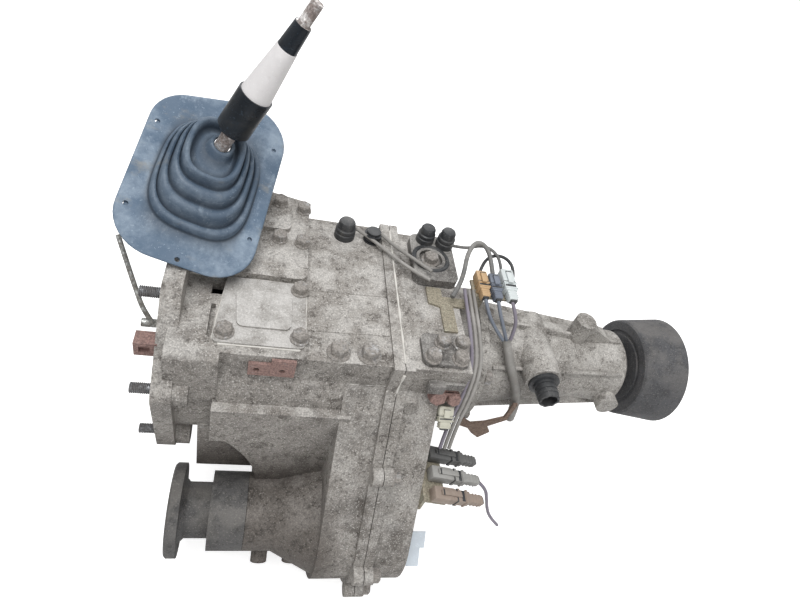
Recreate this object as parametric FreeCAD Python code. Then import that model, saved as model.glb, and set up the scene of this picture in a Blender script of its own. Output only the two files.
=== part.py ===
import FreeCAD, Part
import math
import os

# Part-time four wheel drive transfer case with a chain driven front output.
# Millimetres.  Origin: centre of the gearbox face on the main shaft axis.
# +X runs rearward along the main shaft, +Z is up, +Y is the vehicle's right.

os.makedirs("parts", exist_ok=True)
V = FreeCAD.Vector
X_AXIS = V(1, 0, 0)
Y_AXIS = V(0, 1, 0)
Z_AXIS = V(0, 0, 1)
BACK_Y = V(0, -1, 0)

# ---------------------------------------------------------------- driving sizes
# shaft layout
CHAIN_PITCH = 12.8
SPAN_LINKS = 15
SPROCKET_TEETH = 22
FRONT_DROP_DEG = 45.0
GEAR_MODULE = 2.5
INPUT_TEETH = 26
COUNTER_IN_TEETH = 31
COUNTER_LOW_TEETH = 22
LOW_TEETH = 35
COUNTER_DEG = -70.0

# stations along the main shaft
PLATE_T = 9.0
CASE_JOINT_X = 213.0
GASKET_T = 0.8
COVER_LENGTH = 94.2
CHAIN_POCKET_LENGTH = 33.0
EXTENSION_LENGTH = 202.0

# castings
CASE_R = 110.0
CASE_HALF_W = 95.0
PAD_Z = 86.0
WALL = 9.0
NECK_R = 99.0
SHOULDER_HALF_W = 103.0
SHOULDER_X = 53.0
CHAIN_CASE_R = 67.0
RIM = 5.0
RIM_BOLT_OUT = 9.0
FRONT_HOUSING_R = 40.0
FRONT_HOUSING_X = 93.0
POD_Y = -116.0
DRAIN_X = (187.0, 243.0)
DRAIN_DIRECTION = V(0, -0.45, -0.893)
STUD_CIRCLE_R = 105.0
STUD_DEG = (215.0, 325.0, 162.0, 18.0, 115.0, 65.0)
STUD_R = 5.0
STUD_ROOT_R = STUD_R - 0.5
STUD_OUT = 18.5
STUD_IN = 15.0
FACE_FLANGE_T = 8.0
LUG_PLACE = (-77.0, 66.0)
LUG_WIDTH = 14.0
LUG_HEIGHT = 16.0
LUG_OUT = 17.0
LUG_SEAT = 2.0
LUG_GAP = 0.3

# running clearance of a shaft in its bore, and the gap round soft or loose pieces
RUN = 0.05
LOOSE = 0.3

# shafts and bearings: bore radius, outer radius, width
MAIN_BEARING = (20.0, 40.0, 18.0)
COUNTER_BEARING = (12.5, 26.0, 15.0)
FRONT_BEARING = (17.5, 31.0, 18.0)
FRONT_REAR_BEARING = (15.0, 31.0, 13.0)
TAIL_BEARING = (17.5, 36.0, 17.0)
INPUT_BEARING_X = 16.0
INPUT_GEAR_X = 35.0
INPUT_GEAR_W = 21.0
DOG_R = 30.5
DOG_W = 6.0
HUB_X = 64.0
HUB_W = 8.0
LOW_DOG_X = 74.0
LOW_GEAR_X = 84.0
LOW_GEAR_W = 24.0
MID_BEARING_X = 118.0
DIFF_X = 140.0
DIFF_W = 28.0
DIFF_R = 50.0
MODE_HUB_X = 178.0
MODE_HUB_W = 12.0
SPROCKET_X = 206.0
SPROCKET_W = 30.0
COUPLING_X = 244.0
COUPLING_W = 40.0
COUPLING_R = 56.0
REAR_BEARING_X = 288.0
TAIL_BEARING_X = 470.0
SPLINE_R = 13.0
SLEEVE_R = 40.0
SLEEVE_W = 14.0
GROOVE_W = 6.0
GROOVE_DEPTH = 5.0
FORK_T = 5.4

# front output
FRONT_FLANGE_X = 17.6
FRONT_FLANGE_T = 11.4
FRONT_FLANGE_R = 47.0
FRONT_BARREL_R = 28.0
SHIELD_X = 57.0
SHIELD_R = 40.0
SHIELD_T = 1.6
FRONT_SEAL_X = 94.5
FRONT_BEARING_X = 104.0
FRONT_HUB_R = 24.0
FLANGE_BOLT_R = 37.0
FLANGE_HOLE_R = 5.25

# rear output
DRUM_X = 523.0
DRUM_LENGTH = 54.0
DRUM_R_FRONT = 58.5
DRUM_R_REAR = 64.6
DRUM_BORE_R = 51.0
DRUM_WEB_T = 7.0
REAR_HUB_R = 25.0
REAR_DISC_X = 548.0
REAR_DISC_T = 11.0
REAR_BOLT_R = 38.0

# speed sensor
SENSOR_X = 386.0
SENSOR_Z = 38.0
SENSOR_R = 15.0
SENSOR_BOSS_R = 20.0
SPEEDO_GEAR_R = 24.0
MESH_GAP = 0.4

# gear change
PIVOT = V(41.0, 60.0, 105.0)
FINGER = 31.0
LEVER_LEAN_DEG = 24.5
LEVER_BEND = V(19.0, 60.0, 150.0)
LEVER_LENGTH = 186.0
TAPE_END = 43.0
LEVER_R = 6.5
PIN_R = 4.0
TOWER_R = 20.0
TOWER_BORE_R = 16.0
TOWER_TOP_Z = 113.0
SHIFT_COVER_T = 8.0
RAIL_R = 7.0
RAIL_Z = 62.0
MODE_RAIL_Y = 60.0
RANGE_RAIL_Y = 34.0

# rubber gaiter: centre of its flange, the flange's normal and half sizes
BOOT_CENTRE = V(29.2, 48.2, 141.1)
BOOT_NORMAL = V(0.256, -0.395, 0.882)
BOOT_OFFSET = (-9.0, 8.0)
BOOT_TURN = -9.0
BOOT_CORNERS = ((-39.0, -40.0), (6.0, -47.0), (22.0, 62.0), (-26.0, 50.0))
BOOT_CORNER_R = 39.0
BOOT_HOLES = ((-57.0, 50.0), (50.0, 58.0), (-69.0, -36.0), (37.0, -42.0), (-22.0, -76.0))
BOOT_T = 3.0

# harness
TAG_BOLT = (-148.0, -102.0)
WIRE_R = 2.0
SLEEVE_TUBE_R = 5.5
LOWER_ROW_Z = -33.0
LOWER_PLUG_H = 12.0

# ------------------------------------------------------------- derived positions
CENTRE_DISTANCE = CHAIN_PITCH * SPAN_LINKS
DROP = math.radians(FRONT_DROP_DEG)
FRONT_Y = -CENTRE_DISTANCE * math.cos(DROP)
FRONT_Z = -CENTRE_DISTANCE * math.sin(DROP)
GEAR_DISTANCE = (INPUT_TEETH + COUNTER_IN_TEETH) * GEAR_MODULE / 2
COUNTER_Y = GEAR_DISTANCE * math.cos(math.radians(COUNTER_DEG))
COUNTER_Z = GEAR_DISTANCE * math.sin(math.radians(COUNTER_DEG))
COVER_X = CASE_JOINT_X + GASKET_T
COVER_END_X = COVER_X + COVER_LENGTH
EXTENSION_X = COVER_END_X + GASKET_T
EXTENSION_END_X = EXTENSION_X + EXTENSION_LENGTH
PITCH_R = CHAIN_PITCH / (2 * math.sin(math.pi / SPROCKET_TEETH))
DRUM_END_X = DRUM_X + DRUM_LENGTH


# ------------------------------------------------------------------ form helpers
def box(x0, x1, y0, y1, z0, z1):
    return Part.makeBox(x1 - x0, y1 - y0, z1 - z0, V(x0, y0, z0))


def rod(r, x0, x1, y=0.0, z=0.0):
    """Round bar along X."""
    return Part.makeCylinder(r, x1 - x0, V(x0, y, z), X_AXIS)


def ring(r_out, r_in, x0, x1, y=0.0, z=0.0):
    return rod(r_out, x0, x1, y, z).cut(rod(r_in, x0, x1, y, z))


def post(r, start, direction, length):
    return Part.makeCylinder(r, length, start, direction)


def turned(profile, y=0.0, z=0.0):
    """Solid of revolution about the line through (y, z) along X; profile is (x, r)."""
    pts = [V(x, y, z + r) for x, r in profile]
    face = Part.Face(Part.makePolygon(pts + [pts[0]]))
    return face.revolve(V(0, y, z), X_AXIS, 360)


def plate_x(points, x0, x1):
    """Prism along X from a (y, z) outline."""
    pts = [V(x0, y, z) for y, z in points]
    face = Part.Face(Part.makePolygon(pts + [pts[0]]))
    return face.extrude(V(x1 - x0, 0, 0))


def plate_y(points, y0, y1):
    """Prism along Y from an (x, z) outline."""
    pts = [V(x, y0, z) for x, z in points]
    face = Part.Face(Part.makePolygon(pts + [pts[0]]))
    return face.extrude(V(0, y1 - y0, 0))


def plate_z(points, z0, z1):
    """Prism along Z from an (x, y) outline."""
    pts = [V(x, y, z0) for x, y in points]
    face = Part.Face(Part.makePolygon(pts + [pts[0]]))
    return face.extrude(V(0, 0, z1 - z0))


def join(shapes):
    shape = shapes[0].multiFuse(shapes[1:]) if len(shapes) > 1 else shapes[0]
    return shape.removeSplitter()


def belt(r0, r1, x0, x1):
    """Tangent outline round two circles, one on each output shaft, as a prism along X."""
    tilt = math.asin((r0 - r1) / CENTRE_DISTANCE)
    towards_front = math.pi + DROP
    pts = []
    for radius, cy, cz, sign in ((r0, 0, 0, 1), (r1, FRONT_Y, FRONT_Z, 1),
                                 (r1, FRONT_Y, FRONT_Z, -1), (r0, 0, 0, -1)):
        a = towards_front + sign * (math.pi / 2 - tilt)
        pts.append((cy + radius * math.cos(a), cz + radius * math.sin(a)))
    bridge = plate_x(pts, x0, x1)
    return join([bridge, rod(r0, x0, x1), rod(r1, x0, x1, FRONT_Y, FRONT_Z)])


def rounded_plate(points, radius, z0, z1):
    """Flat plate in XY whose outline is the points grown by a corner radius."""
    wire = Part.makePolygon([V(x, y, z0) for x, y in points] + [V(points[0][0], points[0][1], z0)])
    return Part.Face(wire.makeOffset2D(radius)).extrude(V(0, 0, z1 - z0))


def polar(radius, degrees, y=0.0, z=0.0):
    a = math.radians(degrees)
    return y + radius * math.cos(a), z + radius * math.sin(a)


def hexagon(across_flats, start, direction, length):
    """Hexagonal prism standing on start."""
    r = across_flats / math.sqrt(3)
    pts = [V(r * math.cos(math.radians(60 * i)), r * math.sin(math.radians(60 * i)), 0) for i in range(7)]
    prism = Part.Face(Part.makePolygon(pts)).extrude(V(0, 0, length))
    prism.Placement = FreeCAD.Placement(start, FreeCAD.Rotation(Z_AXIS, direction))
    return prism


def flange_bolt(seat, direction, thread_r=4.0, head=7.5):
    """Hexagon head standing on its seat."""
    return hexagon(thread_r * 3.2, seat, direction, head)


def gear(teeth, module, x0, x1, bore, y=0.0, z=0.0, tooth_at=0.0):
    """Spur gear with backlash; one tooth is centred on the angle tooth_at."""
    pitch_r = teeth * module / 2
    levels = ((pitch_r - 1.2 * module, 1.02), (pitch_r, 0.66), (pitch_r + 0.92 * module, 0.30))
    pts = []
    for i in range(teeth):
        centre = tooth_at + 360.0 * i / teeth
        for side, order in ((-1, levels), (1, levels[::-1])):
            for radius, half in order:
                turn = math.degrees(half * module / radius)
                pts.append(polar(radius, centre + side * turn, y, z))
    wheel = plate_x(pts, x0, x1)
    return wheel.cut(rod(bore, x0 - 1, x1 + 1, y, z))


def bearing(size, x, y=0.0, z=0.0):
    """Outer and inner race of a shielded bearing, parted by the running clearance."""
    bore, outer, width = size
    middle = (bore + outer) / 2
    return ring(outer, middle + RUN, x, x + width, y, z), ring(middle, bore, x, x + width, y, z)


def save(name, solids):
    shape = Part.makeCompound(solids) if isinstance(solids, list) else solids
    shape.exportStep("parts/%s.step" % name)


# --------------------------------------------------------------------- castings
def stud_points():
    return [polar(STUD_CIRCLE_R, a) for a in STUD_DEG]


def bolting_outline(x0, x1):
    """Gearbox flange: bosses round the studs joined by flat sides, over the round neck."""
    order = sorted(stud_points(), key=lambda p: math.atan2(p[1], p[0]))
    wire = Part.makePolygon([V(x0, y, z) for y, z in order + [order[0]]])
    plate = Part.Face(wire.makeOffset2D(15.0)).extrude(V(x1 - x0, 0, 0))
    return join([plate, rod(NECK_R + 3, x0, x1)])


def lug_block(x0, x1, gap=0.0):
    y, z = LUG_PLACE
    half_y = LUG_WIDTH / 2 + gap
    half_z = LUG_HEIGHT / 2 + gap
    return box(x0, x1, y - half_y, y + half_y, z - half_z, z + half_z)


def adapter_plate():
    body = bolting_outline(0.0, PLATE_T).cut(lug_block(-1, LUG_SEAT, LUG_GAP))
    spigot = ring(66.0, 58.0, -6.0, 0.0)
    body = join([body, spigot])
    body = body.cut(rod(MAIN_BEARING[1] - 4, -10, PLATE_T + 1))
    for y, z in stud_points():
        body = body.cut(rod(STUD_R + 0.5, -1, PLATE_T + 1, y, z))
    return body


def rim_points():
    """Bolt positions of the joint between main case and chain cover."""
    tilt = math.asin((CASE_R - CHAIN_CASE_R) / CENTRE_DISTANCE)
    side = math.degrees(DROP + math.pi - math.pi / 2 + tilt)
    lower = math.degrees(DROP + math.pi + math.pi / 2 - tilt)
    pts = [polar(CASE_R + RIM_BOLT_OUT, a) for a in (315, 350)]
    pts += [polar(CHAIN_CASE_R + RIM_BOLT_OUT, a, FRONT_Y, FRONT_Z) for a in (165, 200, 275, 302)]
    middle = (CASE_R + CHAIN_CASE_R) / 2 + RIM_BOLT_OUT
    pts += [polar(middle, a, FRONT_Y / 2, FRONT_Z / 2) for a in (side, lower)]
    return pts


def rim_bosses(x0, x1):
    return [rod(RIM_BOLT_OUT, x0, x1, y, z) for y, z in rim_points()]


def main_case_outer():
    joint = CASE_JOINT_X
    shapes = [bolting_outline(PLATE_T, PLATE_T + FACE_FLANGE_T)]
    shapes.append(rod(NECK_R, PLATE_T, SHOULDER_X + 10))
    shoulder = box(PLATE_T, SHOULDER_X, -SHOULDER_HALF_W, SHOULDER_HALF_W, 18, PAD_Z)
    shapes.append(shoulder.makeFillet(9, [e for e in shoulder.Edges if e.Length > 40 and e.BoundBox.XLength > 40]))
    body = box(SHOULDER_X - 20, joint, -CASE_HALF_W, CASE_HALF_W, 0, PAD_Z)
    shapes.append(body)
    shapes.append(rod(CASE_R, SHOULDER_X, joint))
    shapes.append(rod(CASE_R + RIM, joint - 10, joint))
    shapes.append(belt(CASE_R, CHAIN_CASE_R, joint - 48, joint))
    shapes.append(belt(CASE_R + RIM, CHAIN_CASE_R + RIM, joint - 10, joint))
    shapes.append(box(joint - 10, joint, -CASE_HALF_W - RIM, CASE_HALF_W + RIM, 0, PAD_Z + 3))
    shapes += rim_bosses(joint - 10, joint)
    shapes.append(turned([(FRONT_HOUSING_X, 0), (FRONT_HOUSING_X, FRONT_HOUSING_R), (122, FRONT_HOUSING_R),
                          (joint - 48, CHAIN_CASE_R - 5), (joint - 20, CHAIN_CASE_R), (joint - 20, 0)],
                         FRONT_Y, FRONT_Z))
    return shapes


def pod_form():
    """Bridge between the main case and the front output housing, with a curved nose."""
    nose = Part.Arc(V(64, POD_Y, -24), V(84, POD_Y, -52), V(96, POD_Y, -140)).toShape()
    path = [V(96, POD_Y, -140), V(175, POD_Y, -140), V(175, POD_Y, 28), V(50, POD_Y, 28), V(50, POD_Y, -24),
            V(64, POD_Y, -24)]
    face = Part.Face(Part.Wire([nose] + Part.makePolygon(path).Edges))
    pod = face.extrude(V(0, 76, 0))
    web = box(37, 110, -96, -40, -112, -30)
    return join([pod, web])


def sump_form():
    """Bulge over the counter gear."""
    return rod(52, 30, 136, COUNTER_Y, COUNTER_Z)


def case_bosses():
    shapes = []
    for x, y in ((153, -84), (181, -84)):
        shapes.append(post(12, V(x, y, PAD_Z - 30), Z_AXIS, 30))
    shapes.append(post(13, V(DRAIN_X[0], FRONT_Y, FRONT_Z) + DRAIN_DIRECTION * 40, DRAIN_DIRECTION,
                       CHAIN_CASE_R - 37))
    down = V(0, -0.8, -0.6)
    for x, r in ((112, 8.5), (146, 9.5)):
        shapes.append(post(r, V(x, FRONT_Y, FRONT_Z) + down * 20, down, 32))
    for y, z in stud_points():
        shapes.append(rod(13, PLATE_T, 30, y, z))
    return shapes


def main_case_cavity():
    joint = CASE_JOINT_X
    inner_r = CASE_R - WALL - 2
    inner_w = CASE_HALF_W - WALL
    top = PAD_Z - WALL
    front = INPUT_BEARING_X + MAIN_BEARING[2]
    back = MID_BEARING_X + MAIN_BEARING[2]
    shapes = [rod(NECK_R - 8, front, SHOULDER_X + 12)]
    shapes.append(rod(inner_r, SHOULDER_X + 4, MID_BEARING_X))
    shapes.append(box(front, MID_BEARING_X, -inner_w + 8, inner_w - 8, 0, top))
    shapes.append(rod(45, front, MID_BEARING_X, COUNTER_Y, COUNTER_Z))
    shapes.append(rod(inner_r, back, joint + 1))
    shapes.append(box(back, joint + 1, -inner_w, inner_w, 0, top))
    shapes.append(belt(inner_r, CHAIN_CASE_R - 9, joint - 34, joint + 1))
    return shapes


def case_recesses():
    """Square core hole and trough beside the inspection cover."""
    return [box(38, 49, -30, -16, PAD_Z - 14, PAD_Z + 1), box(40, 44, -78, -42, PAD_Z - 6, PAD_Z + 1)]


def main_case_bores():
    shapes = []
    shapes.append(rod(MAIN_BEARING[1], PLATE_T - 1, INPUT_BEARING_X + MAIN_BEARING[2] + 1))
    shapes.append(rod(MAIN_BEARING[1], MID_BEARING_X - 1, MID_BEARING_X + MAIN_BEARING[2] + 1))
    shapes.append(rod(COUNTER_BEARING[1], 18, 40, COUNTER_Y, COUNTER_Z))
    shapes.append(rod(COUNTER_BEARING[1], MID_BEARING_X - 1, MID_BEARING_X + COUNTER_BEARING[2], COUNTER_Y, COUNTER_Z))
    shapes.append(rod(FRONT_BEARING[1], FRONT_HOUSING_X - 1, FRONT_BEARING_X + FRONT_BEARING[2], FRONT_Y, FRONT_Z))
    shapes.append(rod(FRONT_BEARING[0] + 6, FRONT_HOUSING_X, CASE_JOINT_X, FRONT_Y, FRONT_Z))
    for y, x1 in ((MODE_RAIL_Y, CASE_JOINT_X), (RANGE_RAIL_Y, MID_BEARING_X + 10)):
        shapes.append(rod(RAIL_R + RUN, 12, x1, y, RAIL_Z))
    shapes.append(box(PIVOT.x - 16, PIVOT.x + 16, 26, 76, RAIL_Z - 12, PAD_Z + 1))
    for y, z in stud_points():
        shapes.append(rod(STUD_ROOT_R, PLATE_T - 1, STUD_IN, y, z))
    return shapes


def main_case():
    outer = join(main_case_outer() + [pod_form(), sump_form()] + case_bosses())
    outer = outer.cut(box(PLATE_T + FACE_FLANGE_T, CASE_JOINT_X - 10, -130, 130, PAD_Z, 140))
    outer = outer.cut(box(CASE_JOINT_X - 10, CASE_JOINT_X, -130, 130, PAD_Z + 3, 140)).cut(join(case_recesses()))
    cavity = join(main_case_cavity())
    cavity = cavity.cut(box(0, CASE_JOINT_X + 2, -130, 130, PAD_Z - WALL, 140))
    return outer.cut(cavity).cut(join(main_case_bores()))


def chain_cover():
    x0 = COVER_X
    x1 = COVER_END_X
    outer = [belt(CASE_R + RIM, CHAIN_CASE_R + RIM, x0, x0 + 9)]
    outer.append(belt(CASE_R - 4, CHAIN_CASE_R, x0, x0 + 46))
    outer.append(box(x0, x0 + 9, -CASE_HALF_W - RIM, CASE_HALF_W + RIM, 0, PAD_Z + 3))
    outer.append(box(x0, x0 + 66, -CASE_HALF_W, CASE_HALF_W - 4, 0, PAD_Z))
    outer.append(rod(COUPLING_R + 18, x0 + 40, x1))
    outer.append(rod(45, x0 + 40, x0 + 49, FRONT_Y, FRONT_Z))
    pocket = belt(CASE_R - 15, CHAIN_CASE_R - 9, x0 - 1, x0 + CHAIN_POCKET_LENGTH - 8)
    inner = [pocket.cut(box(x0 - 2, x1, -130, 130, PAD_Z - WALL, 140))]
    inner.append(rod(COUPLING_R + 6, x0, REAR_BEARING_X))
    inner.append(rod(MAIN_BEARING[1], REAR_BEARING_X - 1, x1 + 1))
    inner.append(rod(FRONT_REAR_BEARING[1], x0, x0 + 41, FRONT_Y, FRONT_Z))
    inner.append(rod(RAIL_R + RUN, x0 - 1, x0 + 20, MODE_RAIL_Y, RAIL_Z))
    outer.append(post(10, V(228, -80, 41), BACK_Y, 28))
    outer += rim_bosses(x0, x0 + 9)
    outer.append(post(13, V(DRAIN_X[1], FRONT_Y, FRONT_Z) + DRAIN_DIRECTION * 40, DRAIN_DIRECTION,
                      CHAIN_CASE_R - 37))
    body = join(outer)
    body = body.cut(box(x0, x0 + 9, -130, 130, PAD_Z + 3, 140)).cut(box(x0 + 9, x1, -130, 130, PAD_Z, 140))
    return body.cut(join(inner))


def extension_housing():
    x0 = EXTENSION_X
    x1 = EXTENSION_END_X
    outer = turned([(x0, 0), (x0, COUPLING_R + 18), (x0 + 9, COUPLING_R + 18), (x0 + 9, 60), (x0 + 60, 52), (x1 - 50, 42), (x1 - 24, 44),
                    (x1 - 4, 44), (x1, 40), (x1, 0)])
    boss = post(SENSOR_BOSS_R, V(SENSOR_X, 22, SENSOR_Z), BACK_Y, 84)
    low = post(13, V(495, 0, -8), V(0, -1, 0), 56)
    top = post(12, V(444, 4, 20), Z_AXIS, 52)
    gusset = plate_y([(432, 40), (444, 70), (456, 66), (505, 38), (505, 20), (432, 20)], -2, 10)
    outer = join([outer, boss, low, top, gusset])
    inner = join([turned([(x0 - 1, 0), (x0 - 1, 46), (x0 + 12, 46), (x0 + 60, 40), (TAIL_BEARING_X, 32),
                          (TAIL_BEARING_X, 0)]),
                  rod(TAIL_BEARING[1], TAIL_BEARING_X, x1 - 10), rod(REAR_HUB_R + 3, TAIL_BEARING_X, x1 + 1),
                  post(SENSOR_R, V(SENSOR_X, 16, SENSOR_Z), BACK_Y, 80)])
    return outer.cut(inner)


# --------------------------------------------------------------- turning pieces
def half_pitch(teeth):
    return 180.0 / teeth


def input_shaft():
    end = INPUT_BEARING_X + MAIN_BEARING[2]
    shapes = [rod(MAIN_BEARING[0], 0, end), rod(MAIN_BEARING[0] + 4, end, INPUT_GEAR_X + 1)]
    shapes.append(gear(INPUT_TEETH, GEAR_MODULE, INPUT_GEAR_X, INPUT_GEAR_X + INPUT_GEAR_W, 5, tooth_at=COUNTER_DEG))
    shapes.append(rod(DOG_R, INPUT_GEAR_X + INPUT_GEAR_W, INPUT_GEAR_X + INPUT_GEAR_W + DOG_W))
    shape = join(shapes)
    return shape.cut(rod(SPLINE_R, -1, 40)).cut(rod(12 + RUN, 40, 70))


def counter_gear():
    y, z = COUNTER_Y, COUNTER_Z
    facing = COUNTER_DEG + 180
    bore = 10
    start = 18.0
    end = MID_BEARING_X + COUNTER_BEARING[2]
    driven = gear(COUNTER_IN_TEETH, GEAR_MODULE, INPUT_GEAR_X, INPUT_GEAR_X + INPUT_GEAR_W, bore, y, z,
                  facing + half_pitch(COUNTER_IN_TEETH))
    low = gear(COUNTER_LOW_TEETH, GEAR_MODULE, LOW_GEAR_X, LOW_GEAR_X + LOW_GEAR_W, bore, y, z,
               facing + half_pitch(COUNTER_LOW_TEETH))
    shaft = rod(COUNTER_BEARING[0], start, end, y, z)
    body = rod(17, start + COUNTER_BEARING[2] + 0.5, MID_BEARING_X - 0.5, y, z)
    return join([shaft, body, driven, low])


def low_gear():
    wheel = gear(LOW_TEETH, GEAR_MODULE, LOW_GEAR_X, LOW_GEAR_X + LOW_GEAR_W, MAIN_BEARING[0] + RUN,
                 tooth_at=COUNTER_DEG)
    sleeve = ring(26, MAIN_BEARING[0] + RUN, HUB_X + HUB_W + 0.4, MID_BEARING_X - 0.4)
    dog = ring(DOG_R, MAIN_BEARING[0] + RUN, LOW_DOG_X, LOW_DOG_X + DOG_W)
    return join([wheel, sleeve, dog])


def output_shaft():
    hub_r = DOG_R + 0.5 - RUN
    shapes = [rod(12, 45, 64), rod(MAIN_BEARING[0], 62.4, REAR_BEARING_X + MAIN_BEARING[2])]
    shapes.append(rod(hub_r, HUB_X, HUB_X + HUB_W))
    shapes.append(rod(hub_r, MODE_HUB_X, MODE_HUB_X + MODE_HUB_W))
    shapes.append(rod(TAIL_BEARING[0], REAR_BEARING_X, TAIL_BEARING_X + TAIL_BEARING[2]))
    shapes.append(rod(SPLINE_R + 2, TAIL_BEARING_X, REAR_DISC_X + REAR_DISC_T + 15))
    return join(shapes)


def shift_sleeve(x):
    """Sliding clutch sleeve with a fork groove; x is its front end."""
    groove = x + (SLEEVE_W - GROOVE_W) / 2
    body = ring(SLEEVE_R, DOG_R + 0.5, x, x + SLEEVE_W)
    return body.cut(ring(SLEEVE_R + 1, SLEEVE_R - GROOVE_DEPTH, groove, groove + GROOVE_W))


def centre_differential():
    x0, x1 = DIFF_X, DIFF_X + DIFF_W
    case = turned([(x0, 0), (x0, DIFF_R - 8), (x0 + 4, DIFF_R), (x1 - 8, DIFF_R), (x1 - 8, DIFF_R - 12),
                   (x1, DIFF_R - 16), (x1, 0)])
    holes = [rod(5, x0 - 1, x0 + 8, *polar(DIFF_R - 14, 60 * i)) for i in range(6)]
    return case.cut(join(holes)).cut(rod(MAIN_BEARING[0], x0 - 1, x1 + 1))


def viscous_coupling():
    x0, x1 = COUPLING_X, COUPLING_X + COUPLING_W
    return turned([(x0, MAIN_BEARING[0]), (x0, COUPLING_R - 6), (x0 + 5, COUPLING_R), (x1 - 5, COUPLING_R),
                   (x1, COUPLING_R - 6), (x1, MAIN_BEARING[0])])


def sprocket(bore, y, z, dog=False):
    """Silent chain sprocket; each tooth lies under the middle of a link."""
    chord_r = PITCH_R * math.cos(math.pi / SPROCKET_TEETH)
    pts = []
    for i in range(SPROCKET_TEETH):
        centre = FRONT_DROP_DEG + 270 + (i + 0.5) * 360.0 / SPROCKET_TEETH
        for radius, half in ((chord_r - 5.5, 3.9), (chord_r - 0.4, 1.7), (chord_r - 0.4, -1.7), (chord_r - 5.5, -3.9)):
            pts.append(polar(radius, centre - math.degrees(half / radius), y, z))
    wheel = plate_x(pts, SPROCKET_X, SPROCKET_X + SPROCKET_W)
    if dog:
        wheel = join([wheel, rod(DOG_R, SPROCKET_X - 10, SPROCKET_X - 2, y, z), rod(26, SPROCKET_X - 6, SPROCKET_X + 1, y, z)])
    return wheel.cut(rod(bore, SPROCKET_X - 20, SPROCKET_X + SPROCKET_W + 1, y, z))


def pin_centres():
    """Pin positions of the chain in order round both sprockets."""
    half_turn = SPROCKET_TEETH // 2
    step = 360.0 / SPROCKET_TEETH
    lead = FRONT_DROP_DEG + 180
    upper = [polar(PITCH_R, lead + 90 + i * step) for i in range(half_turn)]
    lower = [polar(PITCH_R, lead - 90 + i * step, FRONT_Y, FRONT_Z) for i in range(half_turn)]
    pts = []
    for wrap, other in ((upper, lower), (lower, upper)):
        pts += wrap
        y0, z0 = polar(PITCH_R, lead + (270 if wrap is upper else 90), *((0, 0) if wrap is upper else (FRONT_Y, FRONT_Z)))
        y1, z1 = other[0]
        for i in range(SPAN_LINKS):
            t = i / SPAN_LINKS
            pts.append((y0 + (y1 - y0) * t, z0 + (z1 - z0) * t))
    return pts


def link_outline(a, b):
    """Two-toed link plate between pins a and b; the toes point into the loop."""
    along = ((b[0] - a[0]) / CHAIN_PITCH, (b[1] - a[1]) / CHAIN_PITCH)
    outward = (along[1], -along[0])
    mid = ((a[0] + b[0]) / 2, (a[1] + b[1]) / 2)
    half = CHAIN_PITCH / 2
    shape = ((-half - 3, 4), (half + 3, 4), (half + 3, -1), (half + 1.2, -5), (half - 1.2, -5), (2.6, 1),
             (-2.6, 1), (-half + 1.2, -5), (-half - 1.2, -5), (-half - 3, -1))
    return [(mid[0] + along[0] * t + outward[0] * n, mid[1] + along[1] * t + outward[1] * n) for t, n in shape]


def drive_chain():
    pts = pin_centres()
    count = len(pts)
    outer_bands = ((1.0, 9.0), (21.0, 29.0))
    inner_bands = ((10.0, 20.0),)
    solids = []
    for i in range(count):
        outline = link_outline(pts[i], pts[(i + 1) % count])
        for x0, x1 in (outer_bands if i % 2 else inner_bands):
            solids.append(plate_x(outline, SPROCKET_X + x0, SPROCKET_X + x1))
    pins = [hexagon(3.2, V(SPROCKET_X + 0.5, y, z), X_AXIS, SPROCKET_W - 1) for y, z in pts]
    return solids, pins


def front_output_shaft():
    y, z = FRONT_Y, FRONT_Z
    last = COVER_X + CHAIN_POCKET_LENGTH + 8
    shapes = [rod(SPLINE_R, 19, FRONT_BEARING_X, y, z)]
    shapes.append(rod(FRONT_BEARING[0], FRONT_BEARING_X - 0.4, SPROCKET_X + SPROCKET_W, y, z))
    shapes.append(rod(FRONT_BEARING[0] + 4, FRONT_BEARING_X + FRONT_BEARING[2], SPROCKET_X, y, z))
    shapes.append(rod(FRONT_REAR_BEARING[0], SPROCKET_X, last - 0.4, y, z))
    return join(shapes)


def front_flange():
    y, z = FRONT_Y, FRONT_Z
    x0 = FRONT_FLANGE_X
    x1 = x0 + FRONT_FLANGE_T
    body = turned([(x0, 0), (x0, FRONT_FLANGE_R - 2), (x0 + 2, FRONT_FLANGE_R), (x1, FRONT_FLANGE_R), (x1, 33),
                   (x1 + 5, FRONT_BARREL_R), (SHIELD_X, FRONT_BARREL_R), (SHIELD_X, FRONT_HUB_R),
                   (FRONT_BEARING_X - 0.4, FRONT_HUB_R), (FRONT_BEARING_X - 0.4, 0)], y, z)
    body = body.cut(rod(21, x0 - 1, x0 + 12.4, y, z)).cut(rod(SPLINE_R, x0, 110, y, z))
    holes = [rod(FLANGE_HOLE_R, x0 - 1, x1 + 1, *polar(FLANGE_BOLT_R, 45 + 90 * i, y, z)) for i in range(4)]
    return body.cut(join(holes))


def front_dust_shield():
    y, z = FRONT_Y, FRONT_Z
    rim = ring(SHIELD_R, SHIELD_R - SHIELD_T, SHIELD_X, FRONT_HOUSING_X - 0.4, y, z)
    return join([rim, ring(SHIELD_R, FRONT_HUB_R, SHIELD_X, SHIELD_X + SHIELD_T, y, z)])


def shaft_nut(across, x0, x1, bore, y=0.0, z=0.0):
    nut = hexagon(across, V(x0, y, z), X_AXIS, x1 - x0)
    return nut.cut(rod(bore, x0 - 1, x1 + 1, y, z))


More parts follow.
